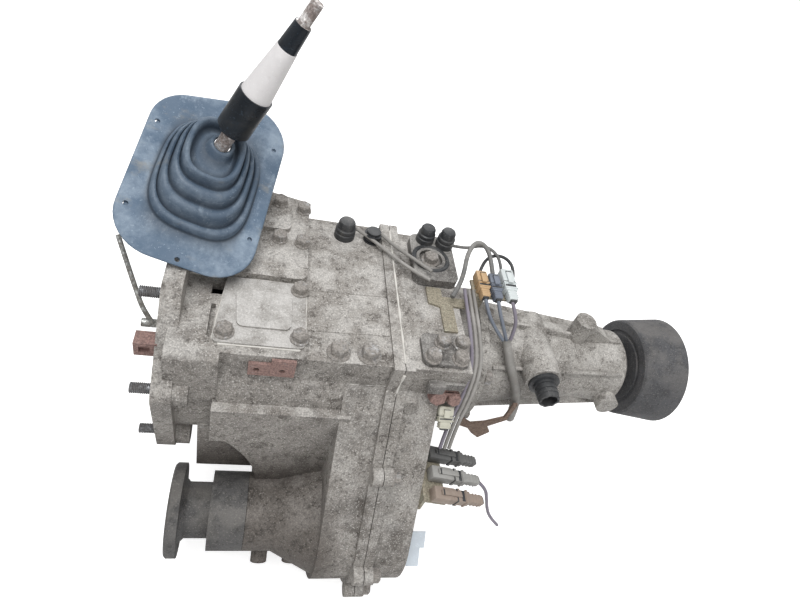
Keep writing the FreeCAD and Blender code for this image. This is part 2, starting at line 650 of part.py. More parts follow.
def rear_flange():
    start = TAIL_BEARING_X + TAIL_BEARING[2] + 0.5
    end = REAR_DISC_X + REAR_DISC_T
    body = join([rod(REAR_HUB_R, start, end), rod(DRUM_BORE_R, REAR_DISC_X, end)])
    holes = [rod(FLANGE_HOLE_R, REAR_DISC_X - 1, end + 1, *polar(REAR_BOLT_R, 45 + 90 * i)) for i in range(4)]
    return body.cut(rod(SPLINE_R + 2, start - 1, end + 1)).cut(join(holes))


def rear_drum():
    x0 = DRUM_X
    x1 = DRUM_END_X
    web = x0 + DRUM_WEB_T
    return turned([(x0, REAR_HUB_R), (x0, 41), (x0 + 2, 41.5), (x0 + 2, 46), (x0, 46.5), (x0, DRUM_R_FRONT - 2),
                   (x0 + 2, DRUM_R_FRONT), (x1, DRUM_R_REAR), (x1, DRUM_BORE_R), (web, DRUM_BORE_R),
                   (web, REAR_HUB_R)])


def bearings():
    """Outer races, then the inner races of each turning shaft."""
    tail = bearing(TAIL_BEARING, TAIL_BEARING_X)
    input_b = bearing(MAIN_BEARING, INPUT_BEARING_X)
    mid = bearing(MAIN_BEARING, MID_BEARING_X)
    rear = bearing(MAIN_BEARING, REAR_BEARING_X)
    counter = [bearing(COUNTER_BEARING, x, COUNTER_Y, COUNTER_Z) for x in (18.0, MID_BEARING_X)]
    front = [bearing(FRONT_BEARING, FRONT_BEARING_X, FRONT_Y, FRONT_Z),
             bearing(FRONT_REAR_BEARING, COVER_X + 28, FRONT_Y, FRONT_Z)]
    outer = [b[0] for b in [tail, input_b, mid, rear] + counter + front]
    save("bearing_outer_races", outer)
    save("input_inner_race", input_b[1])
    save("rear_inner_races", [mid[1], rear[1], tail[1]])
    save("counter_inner_races", [b[1] for b in counter])
    save("front_inner_races", [b[1] for b in front])


def oil_seals():
    front = ring(FRONT_BEARING[1], FRONT_HUB_R + RUN, FRONT_SEAL_X, FRONT_SEAL_X + 8, FRONT_Y, FRONT_Z)
    x = TAIL_BEARING_X + TAIL_BEARING[2] + 2
    rear = ring(TAIL_BEARING[1], REAR_HUB_R + RUN, x, x + 9)
    return [front, rear]


# ------------------------------------------------------------------ gear change
def shift_rail(y, x0, x1):
    return rod(RAIL_R, x0, x1, y, RAIL_Z)


def fork(centre_x, rail_y):
    """Half ring in the sleeve's groove, with a stem up to a clamp round its rail."""
    x0 = centre_x - FORK_T / 2
    x1 = centre_x + FORK_T / 2
    floor = SLEEVE_R - GROOVE_DEPTH + 0.5
    half = ring(SLEEVE_R + 8, floor, x0, x1)
    half = half.common(box(x0, x1, -60, 60, 8, 60))
    stem = plate_x([(rail_y - 9, RAIL_Z), (rail_y + 9, RAIL_Z), (rail_y + 4, 36), (rail_y - 12, 40)], x0, x1)
    stem = stem.cut(rod(SLEEVE_R + 1, x0 - 1, x1 + 1))
    clamp = rod(RAIL_R + 4.5, x0 - 4, x1 + 4, rail_y, RAIL_Z)
    return join([half, stem, clamp]).cut(rod(RAIL_R, x0 - 9, x1 + 9, rail_y, RAIL_Z))


def mode_rail():
    rail = shift_rail(MODE_RAIL_Y, 20.0, 200.0)
    lug = box(PIVOT.x - 9.5, PIVOT.x + 9.5, MODE_RAIL_Y - 7, MODE_RAIL_Y + 7, RAIL_Z, RAIL_Z + 15)
    slot = box(PIVOT.x - PIN_R - 0.15, PIVOT.x + PIN_R + 0.15, MODE_RAIL_Y - 8, MODE_RAIL_Y + 8,
               RAIL_Z + RAIL_R + 0.5, RAIL_Z + 16)
    return join([rail, lug]).cut(slot)


def lever_direction():
    a = math.radians(LEVER_LEAN_DEG)
    return V(math.sin(a), 0, math.cos(a))


def along_lever(distance):
    return LEVER_BEND + lever_direction() * distance


def shift_lever():
    finger = post(3.0, PIVOT - Z_AXIS * FINGER, Z_AXIS, FINGER)
    tip = Part.makeSphere(PIN_R, PIVOT - Z_AXIS * FINGER)
    hub = Part.makeSphere(13.0, PIVOT).cut(box(0, 80, 40, PIVOT.y - 9, 90, 120)).cut(box(0, 80, PIVOT.y + 9, 80, 90, 120))
    crank = LEVER_BEND - PIVOT
    stem = post(LEVER_R + 1.5, PIVOT, crank, crank.Length)
    knee = Part.makeSphere(LEVER_R + 1.5, LEVER_BEND)
    upper = post(LEVER_R, LEVER_BEND, lever_direction(), LEVER_LENGTH - 20)
    thread = post(5.0, along_lever(LEVER_LENGTH - 20), lever_direction(), 20)
    body = join([finger, tip, hub, stem, knee, upper, thread])
    return body.cut(post(PIN_R + RUN, V(PIVOT.x, PIVOT.y - 20, PIVOT.z), Y_AXIS, 40))


def lever_pivot_pin():
    return post(PIN_R, V(PIVOT.x, PIVOT.y - TOWER_R + 2, PIVOT.z), Y_AXIS, 2 * TOWER_R - 4)


def lever_wrap(start, end, r0, r1):
    cone = Part.makeCone(r0, r1, end - start, along_lever(start), lever_direction())
    return cone.cut(post(LEVER_R, along_lever(start - 1), lever_direction(), end - start + 2))


def lever_sleeve():
    foot = lever_wrap(52.5, 56.0, 12.0, 15.0)
    barrel = post(15.0, along_lever(56.0), lever_direction(), 38.5)
    barrel = barrel.cut(post(LEVER_R, along_lever(55.0), lever_direction(), 41))
    band = lever_wrap(LEVER_LENGTH - TAPE_END, LEVER_LENGTH - 20, 8.6, 7.2)
    return [join([foot, barrel]), band]


def shift_cover():
    top = PAD_Z + SHIFT_COVER_T
    front = PLATE_T + FACE_FLANGE_T + LOOSE
    outline = [(front + 9, 2), (114, 2), (114, 104), (60, 116), (front + 9, 104)]
    plate = rounded_plate(outline, 9.0, PAD_Z, top)
    tower = Part.makeCone(TOWER_R + 4, TOWER_R, TOWER_TOP_Z - top, V(PIVOT.x, PIVOT.y, top), Z_AXIS)
    pad = rounded_plate([(70, 62), (98, 62), (98, 100), (70, 100)], 6.0, top, top + 5)
    body = join([plate, tower, pad]).cut(box(-20, front, 0, 140, PAD_Z - 1, 140))
    bore = post(TOWER_BORE_R, V(PIVOT.x, PIVOT.y, PAD_Z - 1), Z_AXIS, 40)
    return body.cut(bore).cut(post(PIN_R, V(PIVOT.x, PIVOT.y - 60, PIVOT.z), Y_AXIS, 120))


def inspection_cover():
    outline = [(50, -81), (118, -81), (118, -14), (55, -14)]
    plate = rounded_plate(outline, 5.0, PAD_Z, PAD_Z + 3.0)
    panel = rounded_plate([(69, -62), (104, -62), (104, -31), (66, -31)], 6.0, PAD_Z + 3.0, PAD_Z + 5.0)
    return join([plate, panel])


def boot_frame():
    """Placement that lays local XY in the gaiter's flange plane."""
    n = V(BOOT_NORMAL)
    n.normalize()
    u = X_AXIS - n * n.x
    u.normalize()
    w = n.cross(u)
    m = FreeCAD.Matrix(u.x, w.x, n.x, BOOT_CENTRE.x, u.y, w.y, n.y, BOOT_CENTRE.y,
                       u.z, w.z, n.z, BOOT_CENTRE.z, 0, 0, 0, 1)
    return FreeCAD.Placement(m)


def soft_rectangle(half_u, half_v, corner, z0, z1, centre=(0.0, 0.0), turn=0.0):
    du = half_u - corner
    dv = half_v - corner
    plate = rounded_plate([(-du, -dv), (du, -dv), (du, dv), (-du, dv)], corner, z0, z1)
    plate.Placement = FreeCAD.Placement(V(centre[0], centre[1], 0), FreeCAD.Rotation(Z_AXIS, turn))
    return plate


def boot():
    """Stepped rubber gaiter, open inside, with a cup that grips the lever."""
    steps = ((45, 57, 5.0, 0.0, 9.0), (38, 48, 9.0, 9.0, 17.0), (32, 40, 14.0, 17.0, 25.0),
             (25, 31, 20.0, 25.0, 34.0))
    wall = BOOT_T
    outer = [rounded_plate(BOOT_CORNERS, BOOT_CORNER_R, 0, wall)]
    inner = [post(2.5, V(u, v, -1), Z_AXIS, wall + 2) for u, v in BOOT_HOLES]
    for half_u, half_v, mid_v, z0, z1 in steps:
        centre = (BOOT_OFFSET[0], mid_v)
        outer.append(soft_rectangle(half_u, half_v, half_u * 0.6, z0, z1, centre, BOOT_TURN))
        inner.append(soft_rectangle(half_u - wall, half_v - wall, half_u * 0.6 - wall, z0 - 1, z1 - wall, centre,
                                    BOOT_TURN))
    shape = join(outer).cut(join(inner))
    shape.Placement = boot_frame()
    crank = LEVER_BEND - PIVOT
    passage = [post(LEVER_R + 1.5 + LOOSE, PIVOT, crank, crank.Length), Part.makeSphere(LEVER_R + 1.5 + LOOSE, LEVER_BEND),
               post(LEVER_R + LOOSE, LEVER_BEND, lever_direction(), 60)]
    return shape.cut(join(passage))


# ------------------------------------------------------------ fittings on the case
def sealed_plug(x, y, z, r, height):
    return join([post(r, V(x, y, z), Z_AXIS, height * 0.55), post(r * 0.8, V(x, y, z), Z_AXIS, height)])


def position_switches():
    top = PAD_Z + 10
    return [sealed_plug(162, 74, PAD_Z, 11, 22), sealed_plug(250, 74, top, 10, 20), sealed_plug(272, 70, top, 10, 22)]


def rail_cover():
    plate = rounded_plate([(242, 22), (272, 22), (272, 74), (242, 74)], 9.0, PAD_Z, PAD_Z + 10)
    return plate.cut(post(13, V(254, 46, PAD_Z + 5), Z_AXIS, 10))


def temperature_sender():
    x, y = 192.5, 74.0
    rings = [post(9.5, V(x, y, PAD_Z + 4 * i), Z_AXIS, 2.0) for i in range(3)]
    return join([post(7.5, V(x, y, PAD_Z), Z_AXIS, 13)] + rings)


def detent_cover():
    return rounded_plate([(238, -84), (270, -84), (270, -62), (238, -62)], 7.0, PAD_Z, PAD_Z + 5)


def drain_plugs():
    plugs = []
    for x in DRAIN_X:
        seat = V(x, FRONT_Y, FRONT_Z) + DRAIN_DIRECTION * (CHAIN_CASE_R + 3)
        plugs.append(join([post(10.5, seat, DRAIN_DIRECTION, 3), hexagon(16, seat, DRAIN_DIRECTION, 11)]))
    return plugs


def case_bolts():
    """Flanged bolts on the top of the case and round the chain cover's rim."""
    bolts = []
    for x in (153, 181):
        bolts.append(flange_bolt(V(x, -84, PAD_Z), Z_AXIS, 5.0))
    rim_x = COVER_X + 9
    for y, z in rim_points():
        bolts.append(flange_bolt(V(rim_x, y, z), X_AXIS))
    bolts.append(flange_bolt(V(COVER_X + 49, *TAG_BOLT), X_AXIS))
    for x, y in ((252, -66), (271, -66), (240, -84), (267, -84)):
        bolts.append(flange_bolt(V(x, y, PAD_Z + 5), Z_AXIS))
    for i in range(6):
        y, z = polar(COUPLING_R + 12.5, 30 + 60 * i)
        bolts.append(flange_bolt(V(EXTENSION_X + 9, y, z), X_AXIS))
    return bolts


def cover_bolts():
    bolts = []
    for x, y in ((117, -18), (118, -75), (54, -75)):
        bolts.append(flange_bolt(V(x, y, PAD_Z + 3), Z_AXIS))
    for x, y in ((117, 43), (117, 96), (94, 46)):
        bolts.append(flange_bolt(V(x, y, PAD_Z + SHIFT_COVER_T), Z_AXIS))
    for x, y in ((76, 96), (92, 96)):
        bolts.append(flange_bolt(V(x, y, PAD_Z + SHIFT_COVER_T + 5), Z_AXIS))
    return bolts


def studs():
    return [join([rod(STUD_R, -STUD_OUT, 0, y, z), rod(STUD_ROOT_R, -1, STUD_IN, y, z)]) for y, z in stud_points()]


def side_at(z):
    """Distance of the main case's side wall from the shaft's plane at a height."""
    return max(CASE_HALF_W, math.sqrt(max(0.0, CASE_R ** 2 - z ** 2)))


def steel_brackets():
    """Lug seated in the gearbox face, two-hole plate on the side wall, clip on the chain cover."""
    y, z = LUG_PLACE
    notch = box(4 - LUG_OUT, -4, y - LUG_WIDTH, y + 4 - LUG_WIDTH / 2, z + 4 - LUG_HEIGHT / 2, z - 4 + LUG_HEIGHT / 2)
    lug = lug_block(-LUG_OUT, LUG_SEAT).cut(notch)
    wall = -side_at(62)
    plate = box(77, 117, wall - 3, wall, 62, 84).cut(box(76, 96, wall - 5, wall + 1, 78, 85))
    for x in (84, 106):
        plate = plate.cut(post(2.6, V(x, wall + 1, 70), BACK_Y, 6))
    clip = box(260, 276, -CASE_HALF_W - 3, -CASE_HALF_W, 42, 56)
    return [lug, plate, clip]


def speed_sensor():
    face = -62
    body = post(SENSOR_R, V(SENSOR_X, -24, SENSOR_Z), BACK_Y, 38).cut(post(5 + RUN, V(SENSOR_X, -20, SENSOR_Z), BACK_Y, 22))
    flange = post(17, V(SENSOR_X, face, SENSOR_Z), BACK_Y, 4)
    socket = post(11, V(SENSOR_X, face - 4, SENSOR_Z), BACK_Y, 20)
    return join([body, flange, socket]).cut(post(8, V(SENSOR_X, face - 12, SENSOR_Z), BACK_Y, 20))


def speedo_pinion():
    r = SENSOR_Z - SPEEDO_GEAR_R - MESH_GAP
    wheel = post(r, V(SENSOR_X, 13, SENSOR_Z), BACK_Y, 26)
    return join([wheel, post(5, V(SENSOR_X, -12, SENSOR_Z), BACK_Y, 26)])


def speedo_drive_gear():
    return ring(SPEEDO_GEAR_R, TAIL_BEARING[0], SENSOR_X - 10, SENSOR_X + 10)


# ---------------------------------------------------------------------- harness
def tube(points, r):
    """Round tube of straight runs joined by tangent arcs as large as the runs allow."""
    pts = [V(*p) for p in points]
    edges = []
    radii = []
    start = pts[0]
    for i in range(1, len(pts) - 1):
        before = pts[i - 1] - pts[i]
        after = pts[i + 1] - pts[i]
        turn = math.pi - before.getAngle(after)
        cut = 0.45 * min(before.Length, after.Length)
        radius = cut / math.tan(turn / 2)
        radii.append(round(radius, 1))
        before.normalize()
        after.normalize()
        p0 = pts[i] + before * cut
        p1 = pts[i] + after * cut
        inward = before + after
        inward.normalize()
        mid = pts[i] + inward * (radius / math.cos(turn / 2) - radius)
        edges.append(Part.makeLine(start, p0))
        edges.append(Part.Arc(p0, mid, p1).toShape())
        start = p1
    edges.append(Part.makeLine(start, pts[-1]))
    path = Part.Wire(edges)
    direction = pts[1] - pts[0]
    section = Part.Wire(Part.makeCircle(r, pts[0], direction))
    solid = path.makePipeShell([section], True, False)
    ratio = solid.Volume / (math.pi * r * r * path.Length)
    print("tube: length %.0f, radii %s, volume ratio %.3f" % (path.Length, radii, ratio))
    return solid


SWITCH_ROUTES = (
    ((168, 80, 97), (188, 70, 93), (212, 43, 94), (230, 20, 99), (246, 6, 102)),
    ((201, 74, 96), (214, 57, 96), (230, 38, 101), (249, 18, 103)),
)
ARCH_ROUTE = ((276, 64, 103), (290, 52, 111), (304, 52, 119), (317, 48, 119), (327, 38, 113), (329, 28, 104))
DOWN_ROUTE = ((285, 4, 97), (284, -22, 95), (284, -50, 91), (288, -76, 72), (284, -94, 44), (277, -108, 12),
              (275, -120, -10))
UPPER_ROUTES = (
    ((303, -11, 103), (306, -21, 96), (318, -28, 80), (333, -33, 66)),
    ((317, -12, 103), (320, -22, 95), (329, -28, 80), (337, -33, 66)),
    ((333, -11, 103), (338, -22, 95), (342, -28, 81), (341, -33, 66)),
)
SLEEVE_ROUTE = ((337, -33, 66), (345, -48, 47), (362, -58, 22), (374, -61, -8), (380, -61, -40))
LOOSE_ROUTE = ((328.6, -136, -49.0), (343, -137, -63), (353, -138, -85), (363, -139, -110), (376, -140, -134),
               (396, -140, -158))
ROD_ROUTE = ((-10, -42, 50), (-20, -34, 62), (-33, -13, 84), (-46, 9, 106))


def wires():
    tubes = [tube(route, WIRE_R) for route in SWITCH_ROUTES + UPPER_ROUTES]
    tubes.append(tube(ARCH_ROUTE, WIRE_R + 0.6))
    for i in range(3):
        tubes.append(tube([(x + 4.8 * i, y, z) for x, y, z in DOWN_ROUTE], WIRE_R))
    return tubes


def stand_at(shape, start, direction, up):
    """Move a shape so that its own X lies on direction and its own Z on up."""
    side = up.cross(direction)
    m = FreeCAD.Matrix(direction.x, side.x, up.x, start.x, direction.y, side.y, up.y, start.y,
                       direction.z, side.z, up.z, start.z, 0, 0, 0, 1)
    shape.Placement = FreeCAD.Placement(m)
    return shape


def lower_row():
    """Direction and upward normal of the row of lower plugs."""
    tilt = math.radians(15)
    return V(math.cos(tilt), 0, -math.sin(tilt)), V(math.sin(tilt), 0, math.cos(tilt))


def plug(start, direction, up, length, width, height):
    """Rectangular plug with a narrower ribbed tail; start is the middle of its front end."""
    body = Part.makeBox(length * 0.72, width, height, V(0, -width / 2, -height / 2))
    tail = Part.makeBox(length * 0.28, width * 0.7, height * 0.7, V(length * 0.72, -width * 0.35, -height * 0.35))
    latch = Part.makeBox(length * 0.4, width * 0.4, 2.0, V(length * 0.1, -width * 0.2, height / 2))
    return stand_at(join([body, tail, latch]), start, direction, up)


def upper_connectors():
    plugs = []
    for x, y, length, width in ((303, 24, 35, 13), (317, 22, 34, 12.5), (334, 32, 43, 15)):
        plugs.append(plug(V(x, y, 103), BACK_Y, Z_AXIS, length, width, 12))
    return plugs


def lower_connectors():
    direction, up = lower_row()
    plugs = [plug(V(269, y, LOWER_ROW_Z), direction, up, 61, 14, LOWER_PLUG_H) for y in (-114, -136, -158)]
    plugs.append(plug(V(268.4, -CASE_HALF_W - 4.2, 36), V(0, -0.8, -0.6), V(0, -0.6, 0.8), 22, 16, 12))
    return plugs


def connector_brackets():
    """Plates that carry the plugs: one on the cover's top, a tray for the upper row, a lower plate."""
    top = plate_z([(246, 10), (262, 10), (262, -2), (288, -2), (288, -14), (272, -14), (272, -48), (258, -48),
                   (258, -16), (246, -12)], PAD_Z, PAD_Z + 2.5)
    tray = join([box(294, 344, -4, 20, 94.5, 97), box(294, 306, -4, 10, COUPLING_R + 18, 97)])
    back = COVER_X + 46
    tongue = Part.makeBox(26, 56, 2.5, V(-6.7, -28, -LOWER_PLUG_H / 2 - 2.7))
    tongue = stand_at(tongue, V(269, -136, LOWER_ROW_Z), *lower_row())
    lower = join([tongue, box(back, back + 3, -164, -108, -58, -34)])
    return [top, tray, lower]


def hook_bracket():
    start = EXTENSION_X + 9
    outline = [(start, -33), (330, -42), (346, -38), (365, -26), (365, 2), (370, 2), (370, -30), (352, -46),
               (360, -58), (350, -72), (338, -62), (330, -52), (start, -47)]
    return plate_y(outline, -70, -67)


def paper_tag():
    """Stiff tag hanging off a bolt of the chain cover."""
    upper = box(0, 24, -0.3, 0.3, -18, 0)
    lower = box(5, 19, -0.3, 0.3, -38, -18)
    loop = box(1, 5, -0.3, 0.3, 0, 14)
    tag = join([upper, lower, loop])
    reach = 14.0 + 7.5
    lean = math.radians(48)
    corner = V(263.2, TAG_BOLT[0] - reach * math.sin(lean), TAG_BOLT[1] - reach * math.cos(lean))
    tag.Placement = FreeCAD.Placement(corner, FreeCAD.Rotation(X_AXIS, -48))
    return tag


def control_rod():
    """Thin rod from a pin on the gearbox face up under the gaiter."""
    pin = rod(4, -20, -6, -40, 48)
    return [pin, tube(ROD_ROUTE, 2.2)]


# ------------------------------------------------------------------------- build
def build():
    save("adapter_plate", adapter_plate())
    save("main_case", main_case())
    save("chain_cover", chain_cover())
    save("extension_housing", extension_housing())
    save("input_shaft", input_shaft())
    save("counter_gear", counter_gear())
    save("low_gear", low_gear())
    save("output_shaft", output_shaft())
    save("range_sleeve", shift_sleeve(57.0))
    save("mode_sleeve", shift_sleeve(177.0))
    save("centre_differential", centre_differential())
    save("viscous_coupling", viscous_coupling())
    save("drive_sprocket", sprocket(MAIN_BEARING[0], 0, 0, dog=True))
    save("front_sprocket", sprocket(FRONT_BEARING[0], FRONT_Y, FRONT_Z))
    links, pins = drive_chain()
    save("drive_chain", links + pins)
    save("front_output_shaft", front_output_shaft())
    save("front_flange", front_flange())
    save("front_dust_shield", front_dust_shield())
    save("front_flange_nut", shaft_nut(32, 20, 30, SPLINE_R, FRONT_Y, FRONT_Z))
    save("rear_flange", rear_flange())
    save("rear_flange_nut", shaft_nut(46, REAR_DISC_X + REAR_DISC_T, REAR_DISC_X + REAR_DISC_T + 12, SPLINE_R + 2))
    save("rear_drum", rear_drum())
    bearings()
    save("oil_seals", oil_seals())
    save("range_rail", shift_rail(RANGE_RAIL_Y, 13.0, 118.0))
    save("range_fork", fork(64.0, RANGE_RAIL_Y))
    save("mode_rail", mode_rail())
    save("mode_fork", fork(184.0, MODE_RAIL_Y))
    save("shift_lever", shift_lever())
    save("lever_pivot_pin", lever_pivot_pin())
    save("lever_sleeve", lever_sleeve())
    save("lever_tape", lever_wrap(94.5, LEVER_LENGTH - TAPE_END, 13.5, 9.0))
    save("shift_cover", shift_cover())
    save("inspection_cover", inspection_cover())
    save("boot", boot())
    save("position_switches", position_switches())
    save("rail_covers", [rail_cover(), detent_cover()])
    save("temperature_sender", temperature_sender())
    save("drain_plugs", drain_plugs())
    save("case_bolts", case_bolts())
    save("cover_bolts", cover_bolts())
    save("studs", studs())
    save("steel_brackets", steel_brackets())
    save("speed_sensor", speed_sensor())
    save("speedo_pinion", speedo_pinion())
    save("speedo_drive_gear", speedo_drive_gear())
    save("wires", wires())
    save("harness_sleeve", tube(SLEEVE_ROUTE, SLEEVE_TUBE_R))
    save("loose_wire", tube(LOOSE_ROUTE, WIRE_R))
    save("upper_connectors", upper_connectors())
    save("lower_connectors", lower_connectors())
    save("connector_brackets", connector_brackets())
    save("hook_bracket", hook_bracket())
    save("paper_tag", paper_tag())
    save("control_rod", control_rod())


build()
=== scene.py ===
# %% [markdown]
# # Dressing a transfer case
# The object is a cast transfer case from a four wheel drive.  Every rigid part
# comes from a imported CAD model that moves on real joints.  This lesson gives each
# part its surface, and adds the soft and fine pieces that CAD leaves plain.
# The box round the CAD parts is measured first, because nothing may outgrow it.

# %% Load the frame
import math
import random
import bmesh
import bpy
from mathutils import Matrix, Vector


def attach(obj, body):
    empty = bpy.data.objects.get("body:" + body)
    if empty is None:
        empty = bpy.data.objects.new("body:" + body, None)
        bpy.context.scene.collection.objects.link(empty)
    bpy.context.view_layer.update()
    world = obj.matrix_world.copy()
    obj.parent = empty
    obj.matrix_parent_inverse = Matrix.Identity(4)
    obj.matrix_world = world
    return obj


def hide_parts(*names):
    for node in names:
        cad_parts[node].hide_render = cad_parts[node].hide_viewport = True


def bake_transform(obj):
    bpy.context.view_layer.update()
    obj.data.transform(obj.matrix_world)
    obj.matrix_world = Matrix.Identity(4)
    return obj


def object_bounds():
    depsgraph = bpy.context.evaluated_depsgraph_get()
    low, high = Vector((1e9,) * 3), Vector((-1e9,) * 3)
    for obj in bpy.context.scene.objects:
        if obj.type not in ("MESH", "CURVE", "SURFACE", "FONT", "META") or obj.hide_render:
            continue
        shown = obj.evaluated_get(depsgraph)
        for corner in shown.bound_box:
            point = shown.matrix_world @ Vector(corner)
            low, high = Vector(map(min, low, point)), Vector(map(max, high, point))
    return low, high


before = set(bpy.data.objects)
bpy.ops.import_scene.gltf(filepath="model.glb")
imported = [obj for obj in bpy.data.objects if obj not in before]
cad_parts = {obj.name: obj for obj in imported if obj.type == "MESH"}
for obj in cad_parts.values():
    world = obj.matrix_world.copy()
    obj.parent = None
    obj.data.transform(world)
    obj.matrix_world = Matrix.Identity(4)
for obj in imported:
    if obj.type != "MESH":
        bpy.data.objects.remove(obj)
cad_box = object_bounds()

print("box", [[round(c, 3) for c in corner] for corner in cad_box])


# %% [markdown]
# ## Placing and finishing a piece
# Each piece is drawn in a bmesh, given a place with a matrix, and finished as an
# object that sits at the origin.  Smooth shading by angle keeps machined edges
# crisp, which costs nothing next to extra bevel faces.

# %% Placing and finishing
MM = 0.001


def spot(x, y, z):
    """Millimetres of the drawing as a point in metres."""
    return Vector((x * MM, y * MM, z * MM))


def place(origin, direction, up=(0, 0, 1)):
    """Matrix that lays a piece's own Z along direction, with its base at origin."""
    z = Vector(direction).normalized()
    x = Vector(up).cross(z)
    x = x.normalized() if x.length > 1e-4 else Vector((1, 0, 0))
    y = z.cross(x)
    return Matrix.Translation(origin) @ Matrix((x, y, z)).transposed().to_4x4()


def new_object(name, data):
    made = bpy.data.objects.new(name, data)
    bpy.context.scene.collection.objects.link(made)
    return made


def mesh_of(name, bm):
    """Mesh made from a bmesh, which is freed."""
    mesh = bpy.data.meshes.new(name)
    bm.to_mesh(mesh)
    bm.free()
    return mesh


def finish_piece(name, bm, surface, body, sharp=35.0, outward=True):
    """Turn a bmesh into a named object that rides on a CAD body, or on none."""
    bmesh.ops.remove_doubles(bm, verts=bm.verts, dist=1e-6)
    if outward:
        bmesh.ops.recalc_face_normals(bm, faces=bm.faces)
    mesh = mesh_of(name, bm)
    mesh.materials.append(surface)
    mesh.shade_smooth()
    mesh.set_sharp_from_angle(angle=math.radians(sharp))
    piece = new_object(name, mesh)
    if body:
        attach(piece, body)
    return piece


def tell(*pieces):
    for piece in pieces:
        print(piece.name, "has", len(piece.data.polygons), "faces")


print("the drawing's unit is", MM, "m")


# %% [markdown]
# ## Three shapes that come back often
# Turned parts are a profile spun round an axis, moulded parts are softened boxes,
# and a bolt head is a spun flange under a hexagon.  The hexagon grows from one
# face by extruding and insetting, so its chamfer stays part of the same skin.

# %% Shapes
def spin_profile(bm, profile, matrix, steps=32):
    """Revolve (height, radius) pairs, in millimetres, about the matrix's Z."""
    made = [bm.verts.new(matrix @ spot(r, 0, h)) for h, r in profile]
    edges = [bm.edges.new(pair) for pair in zip(made, made[1:])]
    axis = matrix.to_3x3() @ Vector((0, 0, 1))
    bmesh.ops.spin(bm, geom=made + edges, cent=matrix.translation, axis=axis,
                   angle=2 * math.pi, steps=steps, use_merge=True)


def rounded_block(bm, size, matrix, round_mm=0.8, segments=2):
    """Box of a size in millimetres with softened edges, its centre on the matrix."""
    made = bmesh.ops.create_cube(bm, size=1.0)["verts"]
    bmesh.ops.scale(bm, vec=Vector(size) * MM, verts=made)
    edges = list(dict.fromkeys(e for v in made for e in v.link_edges))
    out = bmesh.ops.bevel(bm, geom=edges, offset=round_mm * MM, segments=segments,
                          profile=0.5, affect="EDGES", material=-1)
    grown = {v for f in out["faces"] for v in f.verts} | {v for v in made if v.is_valid}
    bmesh.ops.transform(bm, matrix=matrix, verts=list(grown))


def hex_bolt(bm, matrix, flats=13.0, head=7.4, flange=8.8):
    """Flanged hexagon head, 2 mm of flange under a chamfered and dished hexagon."""
    spin_profile(bm, ((0, 0), (0, flange), (1.1, flange), (2.0, flange - 1.4), (2.0, 0)), matrix, 24)
    corner = flats / math.sqrt(3)
    made = bmesh.ops.create_circle(bm, cap_ends=True, segments=6, radius=corner * MM)["verts"]
    face = made[0].link_faces[0]
    up = bmesh.ops.extrude_face_region(bm, geom=[face])
    top_face = [g for g in up["geom"] if isinstance(g, bmesh.types.BMFace)][0]
    top = list(top_face.verts)
    bmesh.ops.translate(bm, vec=(0, 0, (head - 1.0) * MM), verts=top)
    for inset, rise in ((0.9, 1.0), (2.0, -0.5)):
        bmesh.ops.inset_individual(bm, faces=[top_face], thickness=inset * MM)
        bmesh.ops.translate(bm, vec=(0, 0, rise * MM), verts=list(top_face.verts))
    joined = set(made) | set(top)
    grow = True
    while grow:
        more = {e.other_vert(v) for v in joined for e in v.link_edges} - joined
        joined |= more
        grow = bool(more)
    bmesh.ops.transform(bm, matrix=matrix @ Matrix.Translation((0, 0, 1.0 * MM)), verts=list(joined))


trial = bmesh.new()
hex_bolt(trial, Matrix.Identity(4))
print("one bolt head has", len(trial.faces), "faces")
trial.free()


# %% [markdown]
# ## Wires and rods
# A wire is a round bevel on a smooth curve through its route.  Modelling it as a
# mesh tube would fix its facets early, while a curve stays editable.

# %% Curves
LEAD_STEPS = 10


def lead(name, points, radius, surface, body="case", segments=4):
    """Wire or rod as a smooth curve through a route given in millimetres."""
    curve = bpy.data.curves.new(name, "CURVE")
    curve.dimensions = "3D"
    curve.bevel_depth = radius * MM
    curve.bevel_resolution = segments
    curve.resolution_u = LEAD_STEPS
    curve.use_fill_caps = True
    spline = curve.splines.new("NURBS")
    spline.points.add(len(points) - 1)
    for target, p in zip(spline.points, points):
        target.co = (*spot(*p), 1.0)
    spline.order_u = 3
    spline.use_endpoint_u = True
    curve.materials.append(surface)
    piece = new_object(name, curve)
    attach(piece, body)
    return piece


print("a wire has", LEAD_STEPS, "steps between two points of its route")


# %% [markdown]
# ## Shared effects
# Weathered metal, rubber bloom and rust are the same few effects in other colours.
# They are node groups, so a change to the effect reaches every surface that uses
# it.  The alternative, copying the nodes into each material, soon drifts apart.
# These small tools make nodes, groups, noise and blends.

# %% Node tools
def node(tree, kind, **settings):
    made = tree.nodes.new(kind)
    for key, value in settings.items():
        if key in made.bl_rna.properties:
            setattr(made, key, value)
        else:
            made.inputs[key.replace("_", " ")].default_value = value
    return made


def start_group(name, inputs, outputs):
    """Empty group with typed sockets; colours and floats only."""
    tree = bpy.data.node_groups.new(name, "ShaderNodeTree")
    for label, value in inputs.items():
        kind = "NodeSocketColor" if isinstance(value, tuple) else "NodeSocketFloat"
        tree.interface.new_socket(label, in_out="INPUT", socket_type=kind).default_value = value
    for label, kind in outputs.items():
        tree.interface.new_socket(label, in_out="OUTPUT", socket_type=kind)
    return tree, tree.nodes.new("NodeGroupInput"), tree.nodes.new("NodeGroupOutput")


